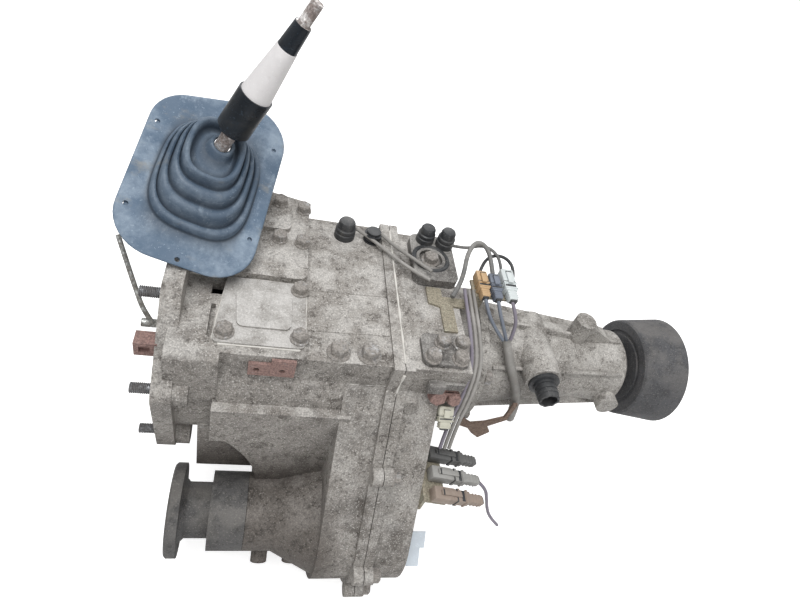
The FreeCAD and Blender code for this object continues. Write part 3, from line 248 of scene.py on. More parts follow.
def noise(tree, scale, detail=4.0, roughness=0.6, stretch=None):
    """Noise over the piece's own coordinates, stretched along an axis if asked."""
    coords = tree.nodes.new("ShaderNodeTexCoord")
    pattern = node(tree, "ShaderNodeTexNoise", Scale=scale, Detail=detail, Roughness=roughness)
    source = coords.outputs["Object"]
    if stretch:
        mapping = node(tree, "ShaderNodeMapping", Scale=stretch)
        tree.links.new(source, mapping.inputs["Vector"])
        source = mapping.outputs["Vector"]
    tree.links.new(source, pattern.inputs["Vector"])
    return pattern.outputs["Fac"]


def between(tree, value, low, high, out_low=0.0, out_high=1.0):
    """Clamp and rescale a value, which turns noise into patches with soft rims."""
    made = node(tree, "ShaderNodeMapRange", interpolation_type="SMOOTHSTEP")
    for label, limit in (("From Min", low), ("From Max", high), ("To Min", out_low), ("To Max", out_high)):
        made.inputs[label].default_value = limit
    tree.links.new(value, made.inputs["Value"])
    return made.outputs["Result"]


def maths(tree, kind, first, second):
    made = node(tree, "ShaderNodeMath", operation=kind)
    for socket, value in zip(made.inputs, (first, second)):
        if isinstance(value, (int, float)):
            socket.default_value = value
        else:
            tree.links.new(value, socket)
    return made.outputs["Value"]


def blend_colour(tree, mask, first, second):
    made = node(tree, "ShaderNodeMix", data_type="RGBA")
    tree.links.new(mask, made.inputs["Factor"])
    tree.links.new(first, made.inputs["A"])
    tree.links.new(second, made.inputs["B"])
    return made.outputs["Result"]


def add_layers(tree, given, colour, layers):
    """Lay tints over a colour through masks, each scaled by a named amount if it has one."""
    for mask, amount, tint in layers:
        if amount:
            mask = maths(tree, "MULTIPLY", mask, given.outputs[amount])
        colour = blend_colour(tree, mask, colour, given.outputs[tint])
    return colour


def multiply_colour(tree, strength, colour, tint):
    """Darken or lighten a colour by a tint; strength and tint are sockets or values."""
    made = node(tree, "ShaderNodeMix", data_type="RGBA", blend_type="MULTIPLY")
    for label, value in (("Factor", strength), ("A", colour), ("B", tint)):
        if isinstance(value, (float, tuple)):
            made.inputs[label].default_value = value
        else:
            tree.links.new(value, made.inputs[label])
    return made.outputs["Result"]


COLOUR = "NodeSocketColor"
VALUE = "NodeSocketFloat"
for scale in (16, 75, 640):
    print("noise of scale", scale, "has spots about", round(1000 / scale, 1), "mm wide")


# %% [markdown]
# ### Cast metal
# Old castings are blotched by oil, specked with pale oxide, and pitted.  Upward
# faces hold dust, so the effect reads the normal's Z.  Low down at the front the
# case gets painted shade, darkest there, from a ramp on the position; hand
# painted masks would need an unwrapped mesh.

# %% Cast effect
def make_cast_effect():
    tree, given, out = start_group(
        "cast weathering",
        {"Metal": (0.3, 0.3, 0.3, 1), "Grime": (0.1, 0.1, 0.1, 1), "Oxide": (0.6, 0.6, 0.6, 1),
         "Grime Amount": 1.0, "Oxide Amount": 1.0, "Grain Amount": 0.9, "Painted Shade Amount": 0.0},
        {"Color": COLOUR, "Roughness": VALUE, "Height": VALUE})
    patches = between(tree, noise(tree, 16, 6, 0.65), 0.46, 0.70)
    blots = between(tree, noise(tree, 75, 5, 0.7), 0.52, 0.66, 0.0, 0.85)
    grain = noise(tree, 640, 3, 0.8)
    pits = between(tree, noise(tree, 260, 4, 0.7), 0.55, 0.66, 0.0, 0.7)
    specks = between(tree, noise(tree, 620, 2, 0.8), 0.57, 0.66)
    cloud = between(tree, noise(tree, 34, 5, 0.6), 0.40, 0.62)
    coords = tree.nodes.new("ShaderNodeTexCoord")
    facing = tree.nodes.new("ShaderNodeSeparateXYZ")
    tree.links.new(coords.outputs["Normal"], facing.inputs["Vector"])
    cloud = maths(tree, "MULTIPLY", cloud, between(tree, facing.outputs["Z"], 0.2, 1.0, 0.12, 0.75))
    where = tree.nodes.new("ShaderNodeSeparateXYZ")
    tree.links.new(coords.outputs["Object"], where.inputs["Vector"])
    # painted shade: a ramp on the position darkens the case low down at the front
    painted_shade = maths(tree, "MULTIPLY", between(tree, where.outputs["X"], 0.165, 0.20, 1.0, 0.0),
                    between(tree, where.outputs["Z"], -0.11, -0.01, 1.0, 0.0))
    colour = add_layers(tree, given, given.outputs["Metal"], (
        (patches, "Grime Amount", "Grime"), (blots, "Grime Amount", "Grime"), (pits, None, "Grime"),
        (cloud, "Oxide Amount", "Oxide"), (specks, "Oxide Amount", "Oxide")))
    painted_shade = maths(tree, "MULTIPLY", painted_shade, given.outputs["Painted Shade Amount"])
    # the painted shade multiplies the colour by a dark grey tint
    colour = multiply_colour(tree, painted_shade, colour, (0.34, 0.315, 0.30, 1))
    sand = between(tree, grain, 0.34, 0.66, 0.62, 1.28)
    colour = multiply_colour(tree, given.outputs["Grain Amount"], colour, sand)
    tree.links.new(colour, out.inputs["Color"])
    tree.links.new(between(tree, grain, 0.3, 0.7, 0.55, 0.9), out.inputs["Roughness"])
    tree.links.new(maths(tree, "SUBTRACT", grain, pits), out.inputs["Height"])
    return tree


CAST = make_cast_effect()
print(CAST.name, "has", len(CAST.nodes), "nodes")


# %% [markdown]
# ### Rubber and rust
# Rubber turns chalky where hands and dust rub it, in wide clouds and in strokes.
# Steel rusts in patches that start from points, so one mask drives the colour,
# the roughness and the loss of metal together.

# %% Rubber and rust effects
def make_bloom_effect():
    tree, given, out = start_group(
        "rubber bloom",
        {"Rubber": (0.1, 0.1, 0.1, 1), "Bloom": (0.4, 0.4, 0.4, 1), "Dust": (0.3, 0.28, 0.25, 1),
         "Bloom Amount": 1.0, "Polish": 0.0},
        {"Color": COLOUR, "Roughness": VALUE, "Height": VALUE})
    wide = between(tree, noise(tree, 22, 6, 0.7), 0.42, 0.74, 0.0, 0.75)
    strokes = between(tree, noise(tree, 60, 5, 0.75, (1.0, 0.35, 1.4)), 0.54, 0.72, 0.0, 0.7)
    dirt = between(tree, noise(tree, 31, 5, 0.7, (0.8, 1.2, 1.0)), 0.56, 0.75, 0.0, 0.8)
    specks = between(tree, noise(tree, 400, 2, 0.7), 0.64, 0.70, 0.0, 0.6)
    colour = add_layers(tree, given, given.outputs["Rubber"], (
        (wide, "Bloom Amount", "Bloom"), (dirt, None, "Dust"), (strokes, "Bloom Amount", "Bloom"),
        (specks, None, "Bloom")))
    tree.links.new(colour, out.inputs["Color"])
    rough = between(tree, noise(tree, 50, 3, 0.6), 0.3, 0.7, 0.45, 0.75)
    tree.links.new(maths(tree, "SUBTRACT", rough, given.outputs["Polish"]), out.inputs["Roughness"])
    tree.links.new(noise(tree, 300, 4, 0.7), out.inputs["Height"])
    return tree


def make_rust_effect():
    tree, given, out = start_group(
        "rusted steel",
        {"Steel": (0.4, 0.4, 0.4, 1), "Rust": (0.25, 0.1, 0.05, 1), "Rust Amount": 0.5},
        {"Color": COLOUR, "Roughness": VALUE, "Metallic": VALUE, "Height": VALUE})
    low = maths(tree, "SUBTRACT", 0.72, maths(tree, "MULTIPLY", given.outputs["Rust Amount"], 0.42))
    field = maths(tree, "ADD", maths(tree, "MULTIPLY", noise(tree, 70, 6, 0.7), 0.7),
                  maths(tree, "MULTIPLY", noise(tree, 330, 3, 0.7), 0.3))
    mask = between(tree, maths(tree, "SUBTRACT", field, low), -0.05, 0.09)
    colour = blend_colour(tree, mask, given.outputs["Steel"], given.outputs["Rust"])
    sand = between(tree, noise(tree, 520, 3, 0.75), 0.34, 0.66, 0.66, 1.32)
    tree.links.new(multiply_colour(tree, 1.0, colour, sand), out.inputs["Color"])
    tree.links.new(between(tree, mask, 0, 1, 0.38, 0.88), out.inputs["Roughness"])
    tree.links.new(between(tree, mask, 0, 1, 0.75, 0.05), out.inputs["Metallic"])
    tree.links.new(maths(tree, "MULTIPLY", mask, noise(tree, 500, 3, 0.7)), out.inputs["Height"])
    return tree


BLOOM = make_bloom_effect()
RUST = make_rust_effect()
print("effects", [g.name for g in bpy.data.node_groups])


# %% [markdown]
# ## Surfaces
# A surface is one shader fed by one effect.  Values that are the same all over,
# such as a coat or a specular level, stay on the shader's own sockets.

# %% Surface makers
def surface(name, effect, values, bump=0.4, depth=0.0004, crease=None, specular=0.5):
    """Material with one effect group feeding a Principled shader.

    A colour of painted shade, if given, darkens where the mesh's own attribute for painted shade is high."""
    made = bpy.data.materials.new(name)
    made.use_nodes = True
    tree = made.node_tree
    shader = tree.nodes["Principled BSDF"]
    shader.inputs["Specular IOR Level"].default_value = specular
    group = node(tree, "ShaderNodeGroup", node_tree=effect)
    for label, value in values.items():
        group.inputs[label].default_value = (*value, 1) if isinstance(value, tuple) else value
    colour = group.outputs["Color"]
    if crease:
        mark = node(tree, "ShaderNodeAttribute", attribute_name="crease")
        dark = node(tree, "ShaderNodeRGB")
        dark.outputs[0].default_value = (*crease, 1)
        colour = blend_colour(tree, between(tree, mark.outputs["Fac"], 0.0, 1.0, 0.0, 0.85), colour,
                              dark.outputs[0])
    tree.links.new(colour, shader.inputs["Base Color"])
    tree.links.new(group.outputs["Roughness"], shader.inputs["Roughness"])
    if "Metallic" in group.outputs:
        tree.links.new(group.outputs["Metallic"], shader.inputs["Metallic"])
    raised = node(tree, "ShaderNodeBump", Strength=bump, Distance=depth)
    tree.links.new(group.outputs["Height"], raised.inputs["Height"])
    tree.links.new(raised.outputs["Normal"], shader.inputs["Normal"])
    return made


def cast_metal(name, metal, grime, oxide, patches, chalk, grain=0.9, painted_shade=0.0, bump=0.9, depth=0.0006):
    return surface(name, CAST, {"Metal": metal, "Grime": grime, "Oxide": oxide, "Grime Amount": patches,
                                "Oxide Amount": chalk, "Grain Amount": grain, "Painted Shade Amount": painted_shade},
                   bump, depth)


def rubber(name, base, bloom, dust, amount, bump, depth=0.0004, polish=0.0, **extra):
    return surface(name, BLOOM, {"Rubber": base, "Bloom": bloom, "Dust": dust, "Bloom Amount": amount,
                                 "Polish": polish}, bump, depth, **extra)


def plastic(name, colour):
    bloom = tuple(min(1, c * 1.25 + 0.03) for c in colour)
    return rubber(name, colour, bloom, tuple(c * 0.6 for c in colour), 0.7, 0.25, 0.0003)


def steel(name, clean, rust, amount, bump, depth=0.0004):
    return surface(name, RUST, {"Steel": clean, "Rust": rust, "Rust Amount": amount}, bump, depth)


print("makers of surfaces", [maker.__name__ for maker in (cast_metal, rubber, plastic, steel)])


# %% [markdown]
# ### Castings and paint
# The case is grey-brown sand casting, the tail a paler alloy, and the lid palest
# of all.  Flanges are dark iron, and the drum's paint has worn to bare patches.

# %% Cast surfaces
# this casting carries painted shade low down at the front of the case
castings = cast_metal("sand casting", (0.295, 0.275, 0.252), (0.066, 0.055, 0.046), (0.62, 0.60, 0.57),
                      0.8, 0.85, painted_shade=0.95)
tail_casting = cast_metal("paler casting", (0.34, 0.322, 0.298), (0.075, 0.064, 0.054), (0.60, 0.58, 0.55),
                          0.7, 0.9)
oily_casting = cast_metal("oily casting", (0.185, 0.175, 0.165), (0.04, 0.036, 0.033), (0.50, 0.485, 0.46),
                          0.9, 0.6, bump=0.8, depth=0.0005)
pale_cover = cast_metal("pale casting", (0.36, 0.345, 0.325), (0.17, 0.15, 0.13), (0.62, 0.605, 0.585),
                        0.5, 0.9, grain=0.45, bump=0.6, depth=0.0004)
dark_iron = cast_metal("dark iron", (0.085, 0.083, 0.083), (0.022, 0.021, 0.02), (0.27, 0.255, 0.235),
                       0.6, 0.5, grain=0.4, bump=0.4, depth=0.0004)
drum_paint = cast_metal("worn black paint", (0.075, 0.076, 0.082), (0.018, 0.018, 0.019), (0.24, 0.225, 0.21),
                        0.5, 0.45, grain=0.35, bump=0.3, depth=0.0004)
print("palest and darkest casting", pale_cover.name, "and", oily_casting.name)


# %% [markdown]
# ### Rubber, plastic and cloth
# The gaiter is blue grey rubber gone chalky.  The lever's sleeve is polished by
# hands, so it reflects little and evenly.  Plugs are plain plastics under dust.

# %% Soft surfaces
# painted shade: the crease colour darkens the folds and the walls of the screw holes
gaiter_rubber = rubber("blue grey rubber", (0.088, 0.136, 0.200), (0.29, 0.36, 0.44), (0.28, 0.275, 0.25),
                       1.2, 0.5, 0.0005, crease=(0.014, 0.021, 0.032))
black_rubber = rubber("black rubber", (0.006, 0.009, 0.013), (0.035, 0.052, 0.075), (0.03, 0.03, 0.03),
                      0.3, 0.2, 0.0003, 0.3, specular=0.25)
dusty_sleeving = rubber("dusty sleeving", (0.12, 0.12, 0.12), (0.33, 0.32, 0.30), (0.26, 0.24, 0.215), 1.0, 0.5)
tape = rubber("cloth tape", (0.72, 0.70, 0.70), (0.84, 0.82, 0.82), (0.52, 0.47, 0.46), 0.8, 0.6)
black_plastic = rubber("dusty black plastic", (0.022, 0.024, 0.027), (0.15, 0.145, 0.14), (0.11, 0.105, 0.095),
                       0.7, 0.3, polish=0.1)
wire_cover = rubber("dusty wire", (0.25, 0.24, 0.225), (0.42, 0.405, 0.385), (0.17, 0.16, 0.145), 0.9, 0.2)
tan_plastic = plastic("tan plug", (0.50, 0.34, 0.19))
slate_plastic = plastic("slate plug", (0.15, 0.17, 0.21))
pale_plastic = plastic("pale plug", (0.60, 0.64, 0.64))
stone_plastic = plastic("stone plug", (0.34, 0.335, 0.32))
dark_plug = plastic("dark plug", (0.12, 0.12, 0.118))
brown_plug = plastic("brown plug", (0.30, 0.24, 0.20))
cream_plastic = plastic("cream plug", (0.50, 0.49, 0.41))
violet_wire = plastic("violet wire", (0.21, 0.19, 0.23))
blue_wire = plastic("slate wire", (0.17, 0.19, 0.23))
tag_card = plastic("tag card", (0.60, 0.66, 0.72))
sealant = plastic("old sealant", (0.62, 0.60, 0.56))
print("materials so far", len(bpy.data.materials))


# %% [markdown]
# ### Steels
# Steel tells its age by how far the rust has got: little on oiled shafts, more on
# bolts and the bare lever, nearly all over the thin pressed brackets.

# %% Steel surfaces
machined = steel("oiled machined steel", (0.50, 0.50, 0.51), (0.16, 0.13, 0.10), 0.35, 0.15, 0.0002)
fastener = steel("dull zinc steel", (0.33, 0.33, 0.33), (0.27, 0.25, 0.23), 0.75, 0.5)
chain_steel = steel("chain steel", (0.30, 0.29, 0.27), (0.12, 0.09, 0.06), 0.5, 0.2, 0.0002)
lever_steel = steel("handled steel", (0.62, 0.60, 0.59), (0.24, 0.20, 0.185), 0.62, 0.5)
rod_steel = steel("plated rod", (0.42, 0.43, 0.42), (0.20, 0.19, 0.17), 0.6, 0.4)
stud_steel = steel("dark stud steel", (0.24, 0.245, 0.255), (0.14, 0.135, 0.135), 0.6, 0.4)
rusted_plate = steel("rusted plate", (0.36, 0.30, 0.285), (0.27, 0.175, 0.155), 0.85, 0.7, 0.0006)
hook_rust = steel("rust brown strap", (0.30, 0.285, 0.27), (0.19, 0.135, 0.105), 0.9, 0.7, 0.0006)
olive_plate = steel("olive passivated plate", (0.38, 0.37, 0.29), (0.29, 0.26, 0.20), 0.75, 0.5)
print("materials in all", len(bpy.data.materials))


# %% [markdown]
# ## Surfaces for the CAD parts
# A CAD part whose shape is right keeps its mesh and only gets a surface.  The
# table goes by surface, so a part is found under what it is made of.

# %% Dress the CAD parts
DRESS = (
    (castings, "adapter_plate main_case chain_cover shift_cover"),
    (tail_casting, "extension_housing"),
    (oily_casting, "rail_covers"),
    (pale_cover, "inspection_cover"),
    (dark_iron, "front_flange front_dust_shield rear_flange"),
    (drum_paint, "rear_drum"),
    (machined, "input_shaft counter_gear low_gear output_shaft range_sleeve mode_sleeve drive_sprocket "
               "front_sprocket front_output_shaft bearing_outer_races input_inner_race rear_inner_races "
               "counter_inner_races front_inner_races range_rail mode_rail speedo_drive_gear lever_pivot_pin "
               "centre_differential viscous_coupling range_fork mode_fork"),
    (chain_steel, "drive_chain"),
    (lever_steel, "shift_lever"),
    (rod_steel, "control_rod"),
    (fastener, "case_bolts cover_bolts front_flange_nut rear_flange_nut drain_plugs"),
    (stud_steel, "studs"),
    (rusted_plate, "steel_brackets"),
    (hook_rust, "hook_bracket"),
    (olive_plate, "connector_brackets"),
    (gaiter_rubber, "boot"),
    (black_rubber, "oil_seals lever_sleeve"),
    (dusty_sleeving, "harness_sleeve"),
    (tape, "lever_tape"),
    (black_plastic, "position_switches speed_sensor speedo_pinion temperature_sender"),
    (stone_plastic, "upper_connectors lower_connectors"),
    (wire_cover, "wires loose_wire"),
    (tag_card, "paper_tag"),
)
dressed = 0
for finish, names in DRESS:
    for name in names.split():
        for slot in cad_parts[name].material_slots:
            slot.material = finish
        dressed += 1
print("dressed", dressed, "of", len(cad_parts))


# %% [markdown]
# ## The rubber gaiter
# The real gaiter is one moulding: a limp flange, a bellows of four folds, and a
# sunk cup whose collar grips the lever.  Its flange is a convex outline grown by
# a corner radius, so a point is on the edge where its distance to the outline is
# that radius, and halving an interval finds it.

# %% Gaiter outline
GAITER_CENTRE = (29.2, 48.2, 141.1)
GAITER_NORMAL = Vector((0.256, -0.395, 0.882)).normalized()
GAITER_CORNERS = ((-39.0, -40.0), (6.0, -47.0), (22.0, 62.0), (-26.0, 50.0))
GAITER_CORNER_R = 38.6
GAITER_TURN = math.radians(-9)
GAITER_THICK = 2.6
FLANGE_REACH = 140.0
HALVINGS = 24


def gaiter_matrix():
    n = GAITER_NORMAL
    u = (Vector((1, 0, 0)) - n * n.x).normalized()
    w = n.cross(u)
    return Matrix.Translation(spot(*GAITER_CENTRE)) @ Matrix((u, w, n)).transposed().to_4x4()


def edge_distance(p, corners):
    """Distance from p to a convex outline, negative inside."""
    nearest, inside = 1e9, True
    for a, b in zip(corners, corners[1:] + corners[:1]):
        a, b = Vector(a), Vector(b)
        t = max(0.0, min(1.0, (p - a).dot(b - a) / (b - a).length_squared))
        nearest = min(nearest, (p - (a + (b - a) * t)).length)
        inside = inside and (b - a).cross(p - a) > 0
    return -nearest if inside else nearest


def flange_point(angle, centre, shrink):
    """Point of the flange's outline in a direction from the centre."""
    ray = Vector((math.cos(angle), math.sin(angle)))
    near, far = 0.0, FLANGE_REACH
    for _ in range(HALVINGS):
        mid = (near + far) / 2
        if edge_distance(centre + ray * mid, GAITER_CORNERS) > GAITER_CORNER_R - shrink:
            far = mid
        else:
            near = mid
    return centre + ray * near


FLANGE_CENTRE = Vector((-9.0, 6.0))
outline = [flange_point(math.radians(a), FLANGE_CENTRE, 0.0) for a in range(0, 360, 5)]
for axis, label in enumerate(("width", "length")):
    reach = [p[axis] for p in outline]
    print("flange", label, round(max(reach) - min(reach)), "mm")


# %% [markdown]
# ### Folds and holes
# The bellows is a stack of rounded rings, each with its size, roundness, centre,
# height and the painted shade in its crease.  The skin gets its thickness from a
# modifier, and the screw holes are drilled by a boolean, then both are baked into the mesh.

# %% Folds and holes
RING = 96
FLANGE_RINGS = ((0.0, 0.0), (0.8, 0.7), (3.0, 0.7), (14.0, 0.4))


def fold_point(angle, half_u, half_v, power, centre):
    c, s = math.cos(angle - GAITER_TURN), math.sin(angle - GAITER_TURN)
    x = math.copysign(abs(c) ** (2 / power), c) * half_u
    y = math.copysign(abs(s) ** (2 / power), s) * half_v
    return centre + Vector((x, y)) @ Matrix.Rotation(-GAITER_TURN, 2)


FOLDS = (
    # half width, half depth, roundness, centre u, centre v, height, painted crease shade
    (45.4, 56.6, 3.1, -8, 4, 0.3, 0.6), (44, 55.2, 3.1, -8, 4, 1.2, 1), (43.4, 54.6, 3.1, -8, 4, 4, 0.3),
    (42.6, 53.8, 3.1, -8, 4, 8.6, 0), (41.2, 52.2, 3.1, -8, 4.5, 9.9, 0), (39.6, 50.4, 3, -8.5, 5.5, 9.4, 0.2),
    (38.6, 49.6, 3, -9, 7, 7.4, 1), (37.8, 48.4, 3, -9, 8, 9.6, 0.7), (37.2, 47.2, 2.9, -9, 9, 13.4, 0),
    (36.2, 46, 2.9, -9, 9, 16.8, 0), (34.8, 44.2, 2.9, -9, 10, 18, 0), (33.2, 42.2, 2.9, -9, 11, 17.4, 0.3),
    (32, 40.6, 2.9, -9, 13, 15.2, 1), (31.4, 39.6, 2.9, -9, 14, 17.4, 0.7), (30.8, 38.8, 2.8, -9, 14, 21.4, 0),
    (29.8, 37.6, 2.8, -9, 15, 24.8, 0), (28.4, 35.8, 2.8, -9, 16, 26, 0), (26.9, 33.8, 2.8, -9, 17, 25.2, 0.4),
    (25.9, 32.4, 2.8, -9, 18.5, 23.2, 1), (25.4, 31.6, 2.8, -9, 20, 26, 0.6), (25, 31.2, 2.8, -9, 20, 30.2, 0),
    (24.2, 30.4, 2.8, -9, 20, 33.4, 0), (22.8, 29, 2.7, -9, 20, 34.2, 0), (21, 27.2, 2.7, -9, 20, 33.6, 0),
    (20, 26.2, 2.6, -9, 20, 30.6, 0.5), (19.2, 25.4, 2.6, -9, 20, 25.6, 0.9),
    (17.5, 23.6, 2.6, -9, 20, 23.4, 0.8), (15, 19, 2.4, -7.4, 22, 23.2, 0.1),
    (12.6, 12.6, 2, -5.2, 25.3, 23.6, 0.7), (11.4, 11.4, 2, -4.9, 25.9, 25.2, 0.5),
    (10.8, 10.8, 2, -3.9, 27.6, 30, 0), (9.6, 9.6, 2, -3.7, 28.1, 31.4, 0), (8.2, 8.2, 2, -3.8, 28, 31, 0.3),
    (7, 7.2, 2, -4, 27.6, 29.6, 1),
)
GAITER_HOLES = ((-57.0, 50.0), (50.0, 58.0), (-69.0, -36.0), (37.0, -42.0), (-22.0, -76.0))
GAITER_HOLE_R = 2.3
FOLD_SHADE = 0.46


def pierce(piece, places, radius, depth):
    """Give the skin its thickness, drill round holes through it, and keep the result as the mesh."""
    bm = bmesh.new()
    mark = bm.verts.layers.float.new("crease")
    for x, y in places:
        base = gaiter_matrix() @ Matrix.Translation(spot(x, y, 0.7))
        made = bmesh.ops.create_circle(bm, cap_ends=True, segments=20, radius=radius * MM, matrix=base)["verts"]
        up = bmesh.ops.extrude_face_region(bm, geom=[made[0].link_faces[0]])["geom"]
        tops = [g for g in up if isinstance(g, bmesh.types.BMVert)]
        bmesh.ops.translate(bm, vec=GAITER_NORMAL * depth * MM, verts=tops)
    # the drill's full mark paints shade onto the walls of the screw holes
    for v in bm.verts:
        v[mark] = 1.0
    bmesh.ops.recalc_face_normals(bm, faces=bm.faces)
    drill = new_object("drill", mesh_of("drill", bm))
    wall = piece.modifiers.new("wall", "SOLIDIFY")
    wall.thickness = GAITER_THICK * MM
    wall.offset = -1
    wall.thickness_clamp = 1.0
    cut = piece.modifiers.new("holes", "BOOLEAN")
    cut.object = drill
    cut.operation = "DIFFERENCE"
    cut.solver = "EXACT"
    shaped = bpy.data.meshes.new_from_object(piece.evaluated_get(bpy.context.evaluated_depsgraph_get()))
    piece.modifiers.clear()
    piece.data = shaped
    bpy.data.objects.remove(drill)


print("rings in the bellows", len(FOLDS), "and screw holes", len(GAITER_HOLES))


# %% [markdown]
# ### The gaiter's skin
# Rings of one loop are extruded upward, which gives even folds; a sculpted blob
# would lose their rhythm.  The skin rides on no body.

# %% Gaiter
def build_gaiter():
    bm = bmesh.new()
    mark = bm.verts.layers.float.new("crease")
    loop = bmesh.ops.create_circle(bm, cap_ends=False, segments=RING, radius=0.09)["verts"]
    angles = [math.atan2(v.co.y, v.co.x) for v in loop]
    rings = [([flange_point(a, FLANGE_CENTRE, shrink) for a in angles], height, 0)
             for shrink, height in FLANGE_RINGS]
    for hu, hv, power, cu, cv, h, dark in FOLDS:
        points = [fold_point(a, hu, hv, power, Vector((cu, cv))) for a in angles]
        # every fold ring gets at least FOLD_SHADE of painted shade
        rings.append((points, h, max(dark, FOLD_SHADE)))
    current = loop
    for number, (points, height, dark) in enumerate(rings):
        if number:
            held = set(current)
            edges = list(dict.fromkeys(e for v in current for e in v.link_edges if e.other_vert(v) in held))
            made = bmesh.ops.extrude_edge_only(bm, edges=edges)["geom"]
            above = {}
            for v in (g for g in made if isinstance(g, bmesh.types.BMVert)):
                below = [e.other_vert(v) for e in v.link_edges if e.other_vert(v) in held][0]
                above[below] = v
            current = [above[v] for v in current]
        for v, p in zip(current, points):
            v.co = Vector((p.x * MM, p.y * MM, height * MM))
            v[mark] = dark
    bmesh.ops.recalc_face_normals(bm, faces=bm.faces)
    if sum(f.normal.z for f in bm.faces) < 0:
        bmesh.ops.reverse_faces(bm, faces=bm.faces)
    bmesh.ops.translate(bm, vec=(0, 0, (GAITER_THICK + 0.1) * MM), verts=bm.verts)
    bmesh.ops.transform(bm, matrix=gaiter_matrix(), verts=bm.verts)
    piece = finish_piece("gaiter", bm, gaiter_rubber, None, 60, outward=False)
    pierce(piece, GAITER_HOLES, GAITER_HOLE_R, 9)
    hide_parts("boot")
    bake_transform(piece)
    return piece


tell(build_gaiter())


# %% [markdown]
# ## Where the bolts stand
# Bolts of a round joint stand on a circle, and those of the chain case stand on
# two circles and on the straight runs between them.  Working the places out keeps
# them on the rim, where typed places would wander.

# %% Bolt places
PAD = 86.0
LID = 8.0
UP = (0, 0, 1)
BACK = (1, 0, 0)
FRONT_AXIS = -135.7645
CASE_R = 110.0
CHAIN_CASE_R = 67.0
SHAFT_DISTANCE = 192.0
DROP = 45.0
RIM_BOLT_OUT = 9.0
RIM_SEAT_X = 222.8
TAG_BOLT = (262.8, -148, -102)
TAIL_SEAT_X = 317.8
TAIL_CIRCLE_R = 68.5
SHOULDER_BOLTS = ((153, -84), (181, -84))
PLATE_BOLTS = ((252, -66), (271, -66), (240, -84), (267, -84))
LID_BOLTS = ((117, -18), (118, -75), (54, -75))
TOWER_BOLTS = ((117, 43, 0), (117, 96, 0), (94, 46, 0), (76, 96, 5), (92, 96, 5))


def ring_point(radius, degrees, y=0.0, z=0.0):
    a = math.radians(degrees)
    return y + radius * math.cos(a), z + radius * math.sin(a)


def rim_places():
    lean = math.degrees(math.asin((CASE_R - CHAIN_CASE_R) / SHAFT_DISTANCE))
    places = [ring_point(CASE_R + RIM_BOLT_OUT, a) for a in (315, 350)]
    lower_r = CHAIN_CASE_R + RIM_BOLT_OUT
    places += [ring_point(lower_r, a, FRONT_AXIS, FRONT_AXIS) for a in (165, 200, 275, 302)]
    side_r = (CASE_R + CHAIN_CASE_R) / 2 + RIM_BOLT_OUT
    sides = (DROP + 90 + lean, DROP + 270 - lean)
    places += [ring_point(side_r, a, FRONT_AXIS / 2, FRONT_AXIS / 2) for a in sides]
    return places


print("bolts on the chain case's rim", len(rim_places()))


# %% [markdown]
# ## Flanged bolts
# Each bolt is a hexagon with a chamfered, dished head on a round flange.  One
# function draws it where a matrix says, so the heads differ only in size.

# %% Bolts
def build_bolts():
    bm = bmesh.new()
    for x, y in SHOULDER_BOLTS:
        hex_bolt(bm, place(spot(x, y, PAD), UP), 14.5, 8.6, 11.0)
    for y, z in rim_places():
        hex_bolt(bm, place(spot(RIM_SEAT_X, y, z), BACK))
    hex_bolt(bm, place(spot(*TAG_BOLT), BACK))
    for x, y in PLATE_BOLTS:
        hex_bolt(bm, place(spot(x, y, PAD + 5), UP), flange=8.4)
    for i in range(6):
        y, z = ring_point(TAIL_CIRCLE_R, 30 + 60 * i)
        hex_bolt(bm, place(spot(TAIL_SEAT_X, y, z), BACK), flange=8.0)
    case_heads = finish_piece("case_bolt_heads", bm, fastener, "case", 30)
    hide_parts("case_bolts")
    bm = bmesh.new()
    for x, y in LID_BOLTS:
        hex_bolt(bm, place(spot(x, y, PAD + 3), UP))
    for x, y, lift in TOWER_BOLTS:
        hex_bolt(bm, place(spot(x, y, PAD + LID + lift), UP), flange=8.2)
    cover_heads = finish_piece("cover_bolt_heads", bm, fastener, "case", 30)
    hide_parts("cover_bolts")
    return case_heads, cover_heads


tell(*build_bolts())


# %% [markdown]
# ## Studs
# A thread's pitch is 1.5 mm, far too fine for the solid model.  A zigzag profile
# spun round the stud's axis reads as thread at any distance.  The tip of the
# lever, where the knob screws on, gets a finer thread in the same way.

# %% Threads
STUD_R = 5.0
STUD_LENGTH = 33.5
STUD_TIP_X = -18.5
STUD_CIRCLE_R = 105.0
STUD_DEGREES = (215, 325, 162, 18, 115, 65)
LEVER_LEAN = math.radians(24.5)
LEVER_BEND = (19, 60, 150)
LEVER_THREAD_FROM = 166.2
LEVER_THREAD_LENGTH = 19.7


def thread_profile(start, end, radius, pitch=1.5, depth=0.75):
    profile = [(start, 0.0), (start, radius - depth)]
    h = start + 0.5
    while h + pitch < end:
        profile += [(h, radius), (h + pitch * 0.25, radius), (h + pitch * 0.6, radius - depth),
                    (h + pitch * 0.75, radius - depth)]
        h += pitch
    profile += [(end, radius - 0.1), (end, 0.0)]
    return profile


def build_studs():
    bm = bmesh.new()
    for degrees in STUD_DEGREES:
        y, z = ring_point(STUD_CIRCLE_R, degrees)
        spin_profile(bm, thread_profile(0.0, STUD_LENGTH, STUD_R), place(spot(STUD_TIP_X, y, z), BACK), 20)
    studs = finish_piece("threaded_studs", bm, stud_steel, "case", 25)
    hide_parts("studs")
    bm = bmesh.new()
    along = Vector((math.sin(LEVER_LEAN), 0, math.cos(LEVER_LEAN)))
    foot = spot(*LEVER_BEND) + along * LEVER_THREAD_FROM * MM
    spin_profile(bm, thread_profile(0.0, LEVER_THREAD_LENGTH, 5.25, 1.25, 0.5), place(foot, along), 20)
    tip = finish_piece("lever_thread", bm, lever_steel, "lever", 25)
    return studs, tip


tell(*build_studs())


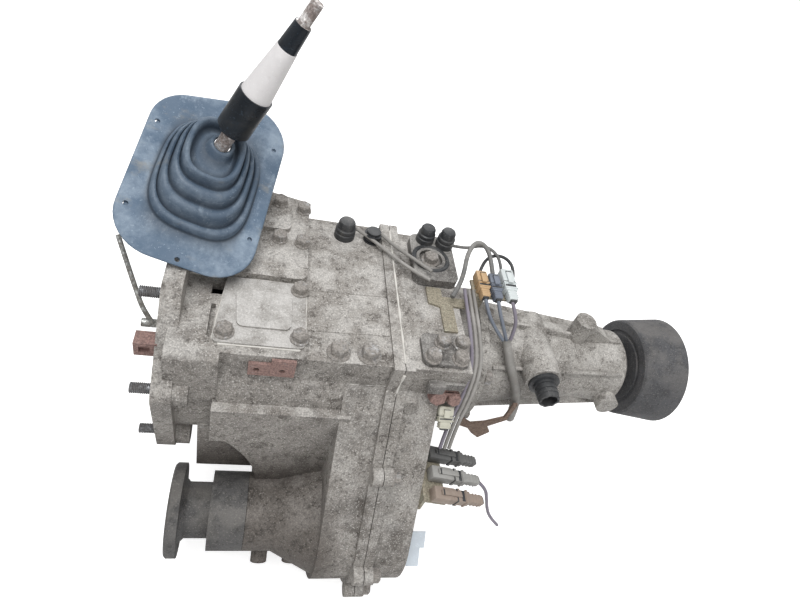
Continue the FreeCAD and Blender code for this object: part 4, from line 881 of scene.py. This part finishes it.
# %% [markdown]
# ## Switches and sender
# Three sealed switches stand on the castings.  Each is a rubber boot with a
# rounded crown over a ribbed skirt; a spun profile gives the whole of it.

# %% Switches
SWITCHES = ((162, 74, PAD, 11, 22), (250, 74, PAD + 10, 10, 20), (272, 70, PAD + 10, 10, 22))


def dome(r, height):
    skirt = ((0, 0), (0, r), (height * 0.30, r), (height * 0.34, r - 1.2), (height * 0.40, r - 1.2))
    rib = ((height * 0.44, r - 0.3), (height * 0.55, r - 0.4), (height * 0.60, r - 1.6))
    crown = ((height * 0.86, r - 2.0), (height * 0.96, r - 3.2), (height, r - 6.0), (height, 0))
    return skirt + rib + crown


def build_switches():
    bm = bmesh.new()
    for x, y, z, r, height in SWITCHES:
        spin_profile(bm, dome(r, height), place(spot(x, y, z), UP), 36)
    piece = finish_piece("switch_boots", bm, black_plastic, "case", 35)
    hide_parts("position_switches")
    return piece


tell(build_switches())


# %% [markdown]
# ## Speed sensor
# The sensor is a bayonet plug with ribs and a notched mouth.  One profile turned
# round its axis holds the ribs, and small blocks make the teeth in the mouth.

# %% Sensor
SENSOR_FOOT = (386, -24, 38)
SENSOR_PROFILE = ((0, 0), (0, 14.6), (37, 14.6), (37.4, 16.8), (41.4, 16.8), (42, 15.6), (42, 12.4),
                  (45, 12.4), (45.4, 11), (49, 11), (49.4, 11.9), (51, 11.9), (51.4, 11), (54.4, 11),
                  (54.8, 11.9), (56.4, 11.9), (56.8, 11), (62, 11), (62, 8.6), (51, 8), (51, 0))


def build_sensor():
    bm = bmesh.new()
    base = place(spot(*SENSOR_FOOT), (0, -1, 0))
    spin_profile(bm, SENSOR_PROFILE, base, 40)
    for turn in range(0, 360, 45):
        tooth = base @ Matrix.Rotation(math.radians(turn), 4, "Z") @ Matrix.Translation(spot(9.8, 0, 60.4))
        rounded_block(bm, (2.6, 3.4, 4.6), tooth, 0.4)
    piece = finish_piece("sensor_body", bm, black_plastic, "case", 35)
    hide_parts("speed_sensor")
    return piece


tell(build_sensor())


# %% [markdown]
# ## Rusted unions
# Two unions beside the cover hold a breather pipe.  Rust has crept over their
# hexagons, so they share the surface of the brackets.

# %% Unions
def build_unions():
    bm = bmesh.new()
    for x, z, flats in ((255, 51, 15), (272, 49, 12)):
        hex_bolt(bm, place(spot(x, -96, z), (0, -0.9, 0.25)), flats, 7.5, flats * 0.62)
    rounded_block(bm, (26, 3, 12), Matrix.Translation(spot(264, -97.2, 50)), 1.0)
    unions = finish_piece("rusted_unions", bm, rusted_plate, "case", 30)
    bm = bmesh.new()
    rounded_block(bm, (17, 9, 13), Matrix.Translation(spot(249, -99, 66)), 2.0)
    rounded_block(bm, (30, 4, 9), Matrix.Translation(spot(262, -96.6, 66)), 1.2)
    return unions, finish_piece("union_cap", bm, oily_casting, "case", 35)


tell(*build_unions())


# %% [markdown]
# ## Ribs on the tail housing, and the detent
# Casting ribs stiffen the long tail.  Each is a plate that follows the housing's
# taper, drafted a little so that it would leave the sand.  The detent's ring and
# bolt stand in the recess that the CAD casting leaves for them.

# %% Ribs
RIB_TURNS = (0, 52, 128, 180, 232, 308)
RIB_X = (330, 502)
RIB_FOOT_R = (48, 40)
RIB_TOP_R = (62, 46.5)
DETENT_PLACE = (254, 46)
DETENT_RING = ((0, 17), (0, 21), (2.0, 21.4), (3.4, 20), (3.4, 17.4), (2.4, 16.4), (0, 17))


def rib(bm, angle, x0, x1, foot0, foot1, top0, top1, half=2.2):
    """Plate between two radii at each end, standing on the axis's X line."""
    turn = Matrix.Rotation(math.radians(angle), 4, "X")
    made = bmesh.ops.create_cube(bm, size=1.0)["verts"]
    for v in made:
        back, high = v.co.x > 0, v.co.z > 0
        wide = half * (0.75 if high else 1.25)
        v.co = turn @ spot(x1 if back else x0, wide if v.co.y > 0 else -wide,
                           (top1 if back else top0) if high else (foot1 if back else foot0))


def build_ribs():
    bm = bmesh.new()
    for angle in RIB_TURNS:
        rib(bm, angle, *RIB_X, *RIB_FOOT_R, *RIB_TOP_R)
    bmesh.ops.bevel(bm, geom=list(bm.edges), offset=0.6 * MM, segments=2, profile=0.5, affect="EDGES",
                    material=-1)
    return finish_piece("tail_ribs", bm, tail_casting, "case", 35)


def build_detent():
    """Rubber ring and bolt that close the detent's recess."""
    bm = bmesh.new()
    spin_profile(bm, DETENT_RING, place(spot(*DETENT_PLACE, 93.8), UP), 40)
    ring = finish_piece("detent_ring", bm, black_plastic, "case", 35)
    bm = bmesh.new()
    hex_bolt(bm, place(spot(*DETENT_PLACE, 92), UP), 14, 8, 10)
    return ring, finish_piece("detent_bolt", bm, fastener, "case", 30)


tell(build_ribs(), *build_detent())


# %% [markdown]
# ## Plugs
# A plug is a block with a sunk window, a latch and ribs.  Rounded blocks set on
# one another give the moulded look without cutting holes.

# %% Plug shape
WIRE_SEAL = 0.5


def plug_matrix(start, direction, up):
    x = Vector(direction).normalized()
    z = Vector(up).normalized()
    y = z.cross(x)
    return Matrix.Translation(spot(*start)) @ Matrix((x, y, z)).transposed().to_4x4()


def block(bm, base, x0, x1, width, z0, z1, round_mm=0.8):
    centre = Matrix.Translation(spot((x0 + x1) / 2, 0, (z0 + z1) / 2))
    rounded_block(bm, (x1 - x0, width, z1 - z0), base @ centre, round_mm)


def build_window(name, base, length, width, half):
    """Dark latch window, ring seal and wire seal of one plug."""
    bm = bmesh.new()
    block(bm, base, length * 0.54, length * 0.60, width * 0.8, half - 1.2, half - 0.6, 0.2)
    block(bm, base, length * 0.14, length * 0.17, width * 0.44, half + 1.2, half + 2.1, 0.2)
    block(bm, base, length * 0.44, length * 0.46, width - 0.5, -half + 0.1, half - 0.25, 0.2)
    block(bm, base, length * 0.96, length + 1.6, width * 0.5, -half * WIRE_SEAL, half * WIRE_SEAL, 0.8)
    finish_piece(name, bm, black_plastic, "case", 35)


def build_plug(name, finish, start, direction, up, length, width, height):
    bm = bmesh.new()
    base = plug_matrix(start, direction, up)
    half = height / 2
    block(bm, base, 0.2, length * 0.42, width - 0.6, -half + 0.2, half - 0.4, 1.2)
    block(bm, base, length * 0.40, length * 0.72, width - 1.8, -half + 0.8, half - 1.0, 0.9)
    block(bm, base, length * 0.46, length * 0.50, width, -half + 0.2, half - 0.2, 0.4)
    block(bm, base, length * 0.62, length * 0.66, width, -half + 0.2, half - 0.2, 0.4)
    block(bm, base, length * 0.70, length, width * 0.68, -height * 0.34, height * 0.34, 1.0)
    block(bm, base, length * 0.12, length * 0.52, width * 0.38, half - 0.8, half + 1.9, 0.5)
    for k in range(3):
        x = length * (0.78 + 0.07 * k)
        block(bm, base, x, x + 1.0, width * 0.74, -height * 0.37, height * 0.37, 0.3)
    build_window(name + "_window", base, length, width, half)
    return finish_piece(name, bm, finish, "case", 35)


print("the wire seal takes", WIRE_SEAL, "of a plug's half height")


# %% [markdown]
# ### The seven plugs
# Three plugs of different colours lie in a row on top, so that nobody joins the
# wrong pair.  Three more point back below, and one small one clips to the side.

# %% Plugs
UPPER_PLUGS = (("tan_plug", tan_plastic, 303, 24, 35, 13), ("slate_plug", slate_plastic, 317, 22, 34, 12.5),
               ("pale_plug", pale_plastic, 334, 32, 43, 15))
LOWER_PLUGS = ((-114, dark_plug), (-136, stone_plastic), (-158, brown_plug))
LOWER_TILT = math.radians(15)
LOWER_ROW_X = 269
LOWER_ROW_Z = -33


def build_plugs():
    uppers = [build_plug(name, finish, (x, y, 103), (0, -1, 0), UP, length, width, 12)
              for name, finish, x, y, length, width in UPPER_PLUGS]
    along = (math.cos(LOWER_TILT), 0, -math.sin(LOWER_TILT))
    up = (math.sin(LOWER_TILT), 0, math.cos(LOWER_TILT))
    lowers = [build_plug("lower_plug_%d" % number, finish, (LOWER_ROW_X, y, LOWER_ROW_Z), along, up, 61, 14, 12)
              for number, (y, finish) in enumerate(LOWER_PLUGS)]
    lowers.append(build_plug("side_plug", cream_plastic, (268.4, -99.2, 36), (0, -0.8, -0.6), (0, -0.6, 0.8),
                             22, 16, 12))
    for piece in uppers:
        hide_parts("upper_connectors")
    for piece in lowers:
        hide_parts("lower_connectors")
    return uppers + lowers


tell(*build_plugs())


# %% [markdown]
# ## Wiring
# Every wire is its own smooth curve with its own colour.  A curve bends without
# the facets that a chain of straight tubes would show.  The routes are kept apart
# from the code that draws them, because routes are what gets adjusted.

# %% Wire routes
SWITCH_ROUTES = (
    ((168, 80, 97), (188, 70, 93), (212, 43, 94), (230, 20, 99), (246, 6, 102)),
    ((201, 74, 96), (214, 57, 96), (230, 38, 101), (249, 18, 103)),
)
TRUNK_ROUTE = ((268, -11, 99), (276, 1, 102), (283, 18, 108), (285.5, 34, 118), (293, 46, 125.5),
               (302, 48, 126), (311, 44, 120), (315, 34, 113), (316.5, 22, 107))
LATCH_ROUTE = ((303, 24, 103), (308, 38, 109), (322, 47, 113), (338, 46, 111), (346, 34, 105), (342, 18, 98))
ARCH_ROUTE = ((276, 64, 103), (290, 52, 111), (304, 52, 119), (317, 48, 119), (327, 38, 113), (329, 28, 104))
DOWN_ROUTE = ((285, 4, 97), (284, -22, 95), (284, -50, 91), (288, -76, 72), (284, -94, 44), (277, -108, 12),
              (275, -120, -10))
UPPER_ROUTES = (
    ((303, -11, 103), (306, -21, 96), (318, -28, 80), (333, -33, 66)),
    ((317, -12, 103), (320, -22, 95), (329, -28, 80), (337, -33, 66)),
    ((333, -11, 103), (338, -22, 95), (342, -28, 81), (341, -33, 66)),
)
SLEEVE_ROUTE = ((337, -33, 66), (345, -48, 47), (362, -58, 22), (374, -61, -8), (380, -61, -40))
LOOSE_ROUTE = ((328.6, -136, -49.0), (343, -137, -63), (353, -138, -85), (363, -139, -110), (376, -140, -134),
               (396, -140, -158))
for route in SWITCH_ROUTES + UPPER_ROUTES + (TRUNK_ROUTE, LATCH_ROUTE, ARCH_ROUTE, DOWN_ROUTE, SLEEVE_ROUTE):
    print(len(route), "points over", round(sum(math.dist(a, b) for a, b in zip(route, route[1:]))), "mm")


# %% [markdown]
# ### Wires that lie on the case
# Wires from the switches cross the lid, three drop down the side to the lower
# plugs, and three run from the upper plugs into the sleeve.

# %% Wires
WIRE_R = 1.9
DOWN_STEP = 4.8


def build_wiring():
    wires = [lead("switch_wire_%d" % i, r, WIRE_R, wire_cover) for i, r in enumerate(SWITCH_ROUTES)]
    wires.append(lead("arch_wire", ARCH_ROUTE, 1.7, dusty_sleeving))
    wires.append(lead("trunk_wire", TRUNK_ROUTE, 2.4, dusty_sleeving))
    wires.append(lead("back_wire", LATCH_ROUTE, 1.8, black_plastic))
    for i, finish in enumerate((violet_wire, wire_cover, wire_cover)):
        route = [(x + DOWN_STEP * i, y, z) for x, y, z in DOWN_ROUTE]
        wires.append(lead("down_wire_%d" % i, route, WIRE_R, finish))
    for i, finish in enumerate((blue_wire, blue_wire, violet_wire)):
        wires.append(lead("plug_wire_%d" % i, UPPER_ROUTES[i], WIRE_R, finish))
    for piece in wires:
        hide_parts("wires")
    return wires


print("wires", len(build_wiring()))


# %% [markdown]
# ### The corrugated sleeve and the loose wire
# The sleeve starts as a curve, so that it bends smoothly, and becomes a mesh so
# that every other ring can be drawn in.  The loose wire hangs from the lower
# plugs.

# %% Sleeve and loose wire
SLEEVE_R = 5.45
SLEEVE_SIDES = 12
GROOVE_SHARE = 0.82


def solid_tube(line):
    """Turn a curve piece into a bmesh and drop the curve."""
    mesh = bpy.data.meshes.new_from_object(line.evaluated_get(bpy.context.evaluated_depsgraph_get()))
    bpy.data.objects.remove(line)
    bm = bmesh.new()
    bm.from_mesh(mesh)
    bpy.data.meshes.remove(mesh)
    return bm


def build_sleeve():
    """Corrugated sleeve: every other ring of the tube is drawn in."""
    curve_piece = lead("sleeve_line", SLEEVE_ROUTE, SLEEVE_R, dusty_sleeving)
    curve_piece.data.resolution_u = 15
    curve_piece.data.use_fill_caps = False
    bm = solid_tube(curve_piece)
    bm.verts.ensure_lookup_table()
    count = len(bm.verts) // SLEEVE_SIDES
    for ring in range(count):
        verts = bm.verts[ring * SLEEVE_SIDES:(ring + 1) * SLEEVE_SIDES]
        middle = sum((v.co for v in verts), Vector()) / SLEEVE_SIDES
        share = GROOVE_SHARE if ring % 2 else 1.0
        for v in verts:
            v.co = middle + (v.co - middle) * share
    bmesh.ops.holes_fill(bm, edges=[e for e in bm.edges if e.is_boundary])
    piece = finish_piece("harness_tube", bm, wire_cover, "case", 60)
    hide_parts("harness_sleeve")
    return count


def build_loose_wire():
    piece = lead("loose_wire_lead", LOOSE_ROUTE, 1.9, violet_wire)
    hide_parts("loose_wire")
    return piece


print("sleeve rings", build_sleeve())
print("cord", build_loose_wire().name)


# %% [markdown]
# ## Sealant
# The covers were bedded in sealant, which squeezed out as a thin pale bead.  Beads
# follow the joints as fine lines that swell and thin by chance.  Plain lines of
# the casting's own surface mark where the halves of the sand mould met.

# %% Sealant beads
LID_LOOP = ((50, -86), (84, -86), (118, -86), (123, -81), (123, -48), (123, -14), (118, -9), (86, -9),
            (55, -9), (50, -14), (46, -60), (45, -81), (50, -86))
JOINT_X = 213.4
SIDE_Y = -100.3
PARTINGS = (("parting_line_0", (125, -12, PAD), (209, -9, PAD)),
            ("parting_line_1", (125, -62, PAD), (209, -59, PAD)),
            ("side_line_0", (120, -95.2, 20), (209, -95.2, 20)),
            ("side_line_1", (120, -95.2, 52), (209, -95.2, 56)))


def bead(name, points, radius, seed):
    """Line of sealant that swells and thins along its length, as squeezed sealant does."""
    chance = random.Random(seed)
    line = lead(name + "_line", points, radius, sealant)
    for point in line.data.splines[0].points:
        point.radius = chance.uniform(0.55, 1.7)
    return finish_piece(name, solid_tube(line), sealant, "case", 60)


def walk(start, end, steps):
    a, b = Vector(start), Vector(end)
    return [tuple(a + (b - a) * (i / steps)) for i in range(steps + 1)]


def build_beads():
    corners = [(x, y, PAD + 0.3) for x, y in LID_LOOP]
    around = [p for one, two in zip(corners, corners[1:]) for p in walk(one, two, 5)[:-1]]
    beads = [bead("cover_bead", around, 0.9, 0)]
    beads.append(bead("joint_bead", walk((JOINT_X, 90, PAD + 3.0), (JOINT_X, -92, PAD + 3.0), 26), 0.9, 1))
    beads.append(bead("joint_side_bead", walk((JOINT_X, SIDE_Y, 82), (JOINT_X, SIDE_Y, 2), 14), 0.9, 2))
    beads.append(bead("lid_bead", walk((16, -7.4, PAD + 0.3), (122, -7.4, PAD + 0.3), 18), 0.8, 3))
    for name, start, end in PARTINGS:
        lead(name, walk(start, end, 3), 0.8, castings)
    return beads


tell(*build_beads())


# %% [markdown]
# ## Camera and lamps
# A short lens stands close above the near side, which makes the near end look
# large, as it does to someone who leans over the case.  Soft round lamps light
# every side; a small hard lamp would hide half of it in shadow.

# %% Camera and lamps
CAMERA_PLACE = (71.8, -389.3, 481.6)
CAMERA_LOOK = (0.256, 0.668, -0.699)
CAMERA_UP = (-0.112, 0.738, 0.665)
LENS = 25.425
LAMP_TARGET = (0.25, 0, 0)
LAMPS = (("key lamp", (-0.1, -0.35, 1.7), 1.3, 22), ("fill lamp", (0.9, -1.3, 0.7), 1.4, 4),
         ("back lamp", (0.4, 1.4, 1.1), 1.4, 8))


def build_camera():
    data = bpy.data.cameras.new("camera")
    data.sensor_width = 36
    data.lens = LENS
    data.clip_end = 20
    camera = new_object("camera", data)
    look = Vector(CAMERA_LOOK).normalized()
    right = look.cross(Vector(CAMERA_UP)).normalized()
    up = right.cross(look)
    turn = Matrix((right, up, -look)).transposed().to_4x4()
    camera.matrix_world = Matrix.Translation(spot(*CAMERA_PLACE)) @ turn
    bpy.context.scene.camera = camera


def lamp(name, position, target, size, watts):
    data = bpy.data.lights.new(name, "AREA")
    data.shape = "DISK"
    data.size = size
    data.energy = watts
    made = new_object(name, data)
    made.matrix_world = place(Vector(position), Vector(position) - Vector(target))


build_camera()
for name, position, size, watts in LAMPS:
    lamp(name, position, LAMP_TARGET, size, watts)
bpy.context.scene.view_settings.view_transform = "Standard"
print("lens", LENS, "mm and lamps", len(LAMPS))


# %% [markdown]
# ## Floor and background
# A pale floor catches a soft shadow.  The world shows white behind the object
# without lighting it harder, because the camera's rays see a stronger background
# than the light's own rays do.

# %% Floor and background
FLOOR_GAP = 0.004
FLOOR_GLOW = 0.6
WORLD_LIGHT = 0.42


def build_floor():
    low = cad_box[0]
    bm = bmesh.new()
    bmesh.ops.create_grid(bm, x_segments=1, y_segments=1, size=6)
    bmesh.ops.translate(bm, vec=(0.25, 0, low[2] - FLOOR_GAP), verts=bm.verts)
    mesh = mesh_of("floor", bm)
    floor = new_object("floor", mesh)
    made = bpy.data.materials.new("studio floor")
    made.use_nodes = True
    tree = made.node_tree
    shader = tree.nodes["Principled BSDF"]
    shader.inputs["Base Color"].default_value = (0.93, 0.93, 0.93, 1)
    shader.inputs["Roughness"].default_value = 0.9
    path = tree.nodes.new("ShaderNodeLightPath")
    shader.inputs["Emission Color"].default_value = (1, 1, 1, 1)
    tree.links.new(maths(tree, "MULTIPLY", path.outputs["Is Camera Ray"], FLOOR_GLOW),
                   shader.inputs["Emission Strength"])
    mesh.materials.append(made)
    return low[2] - FLOOR_GAP


def build_world():
    world = bpy.data.worlds.new("studio")
    bpy.context.scene.world = world
    world.use_nodes = True
    tree = world.node_tree
    back = tree.nodes["Background"]
    path = tree.nodes.new("ShaderNodeLightPath")
    seen = maths(tree, "MAXIMUM", path.outputs["Is Camera Ray"], path.outputs["Is Transmission Ray"])
    seen = maths(tree, "MAXIMUM", seen, path.outputs["Is Glossy Ray"])
    back.inputs["Color"].default_value = (1, 1, 1, 1)
    tree.links.new(between(tree, seen, 0, 1, WORLD_LIGHT, 1.0), back.inputs["Strength"])


build_world()
print("floor at", round(build_floor(), 4), "m")


# %% [markdown]
# The visual model must stay inside the CAD model's box.
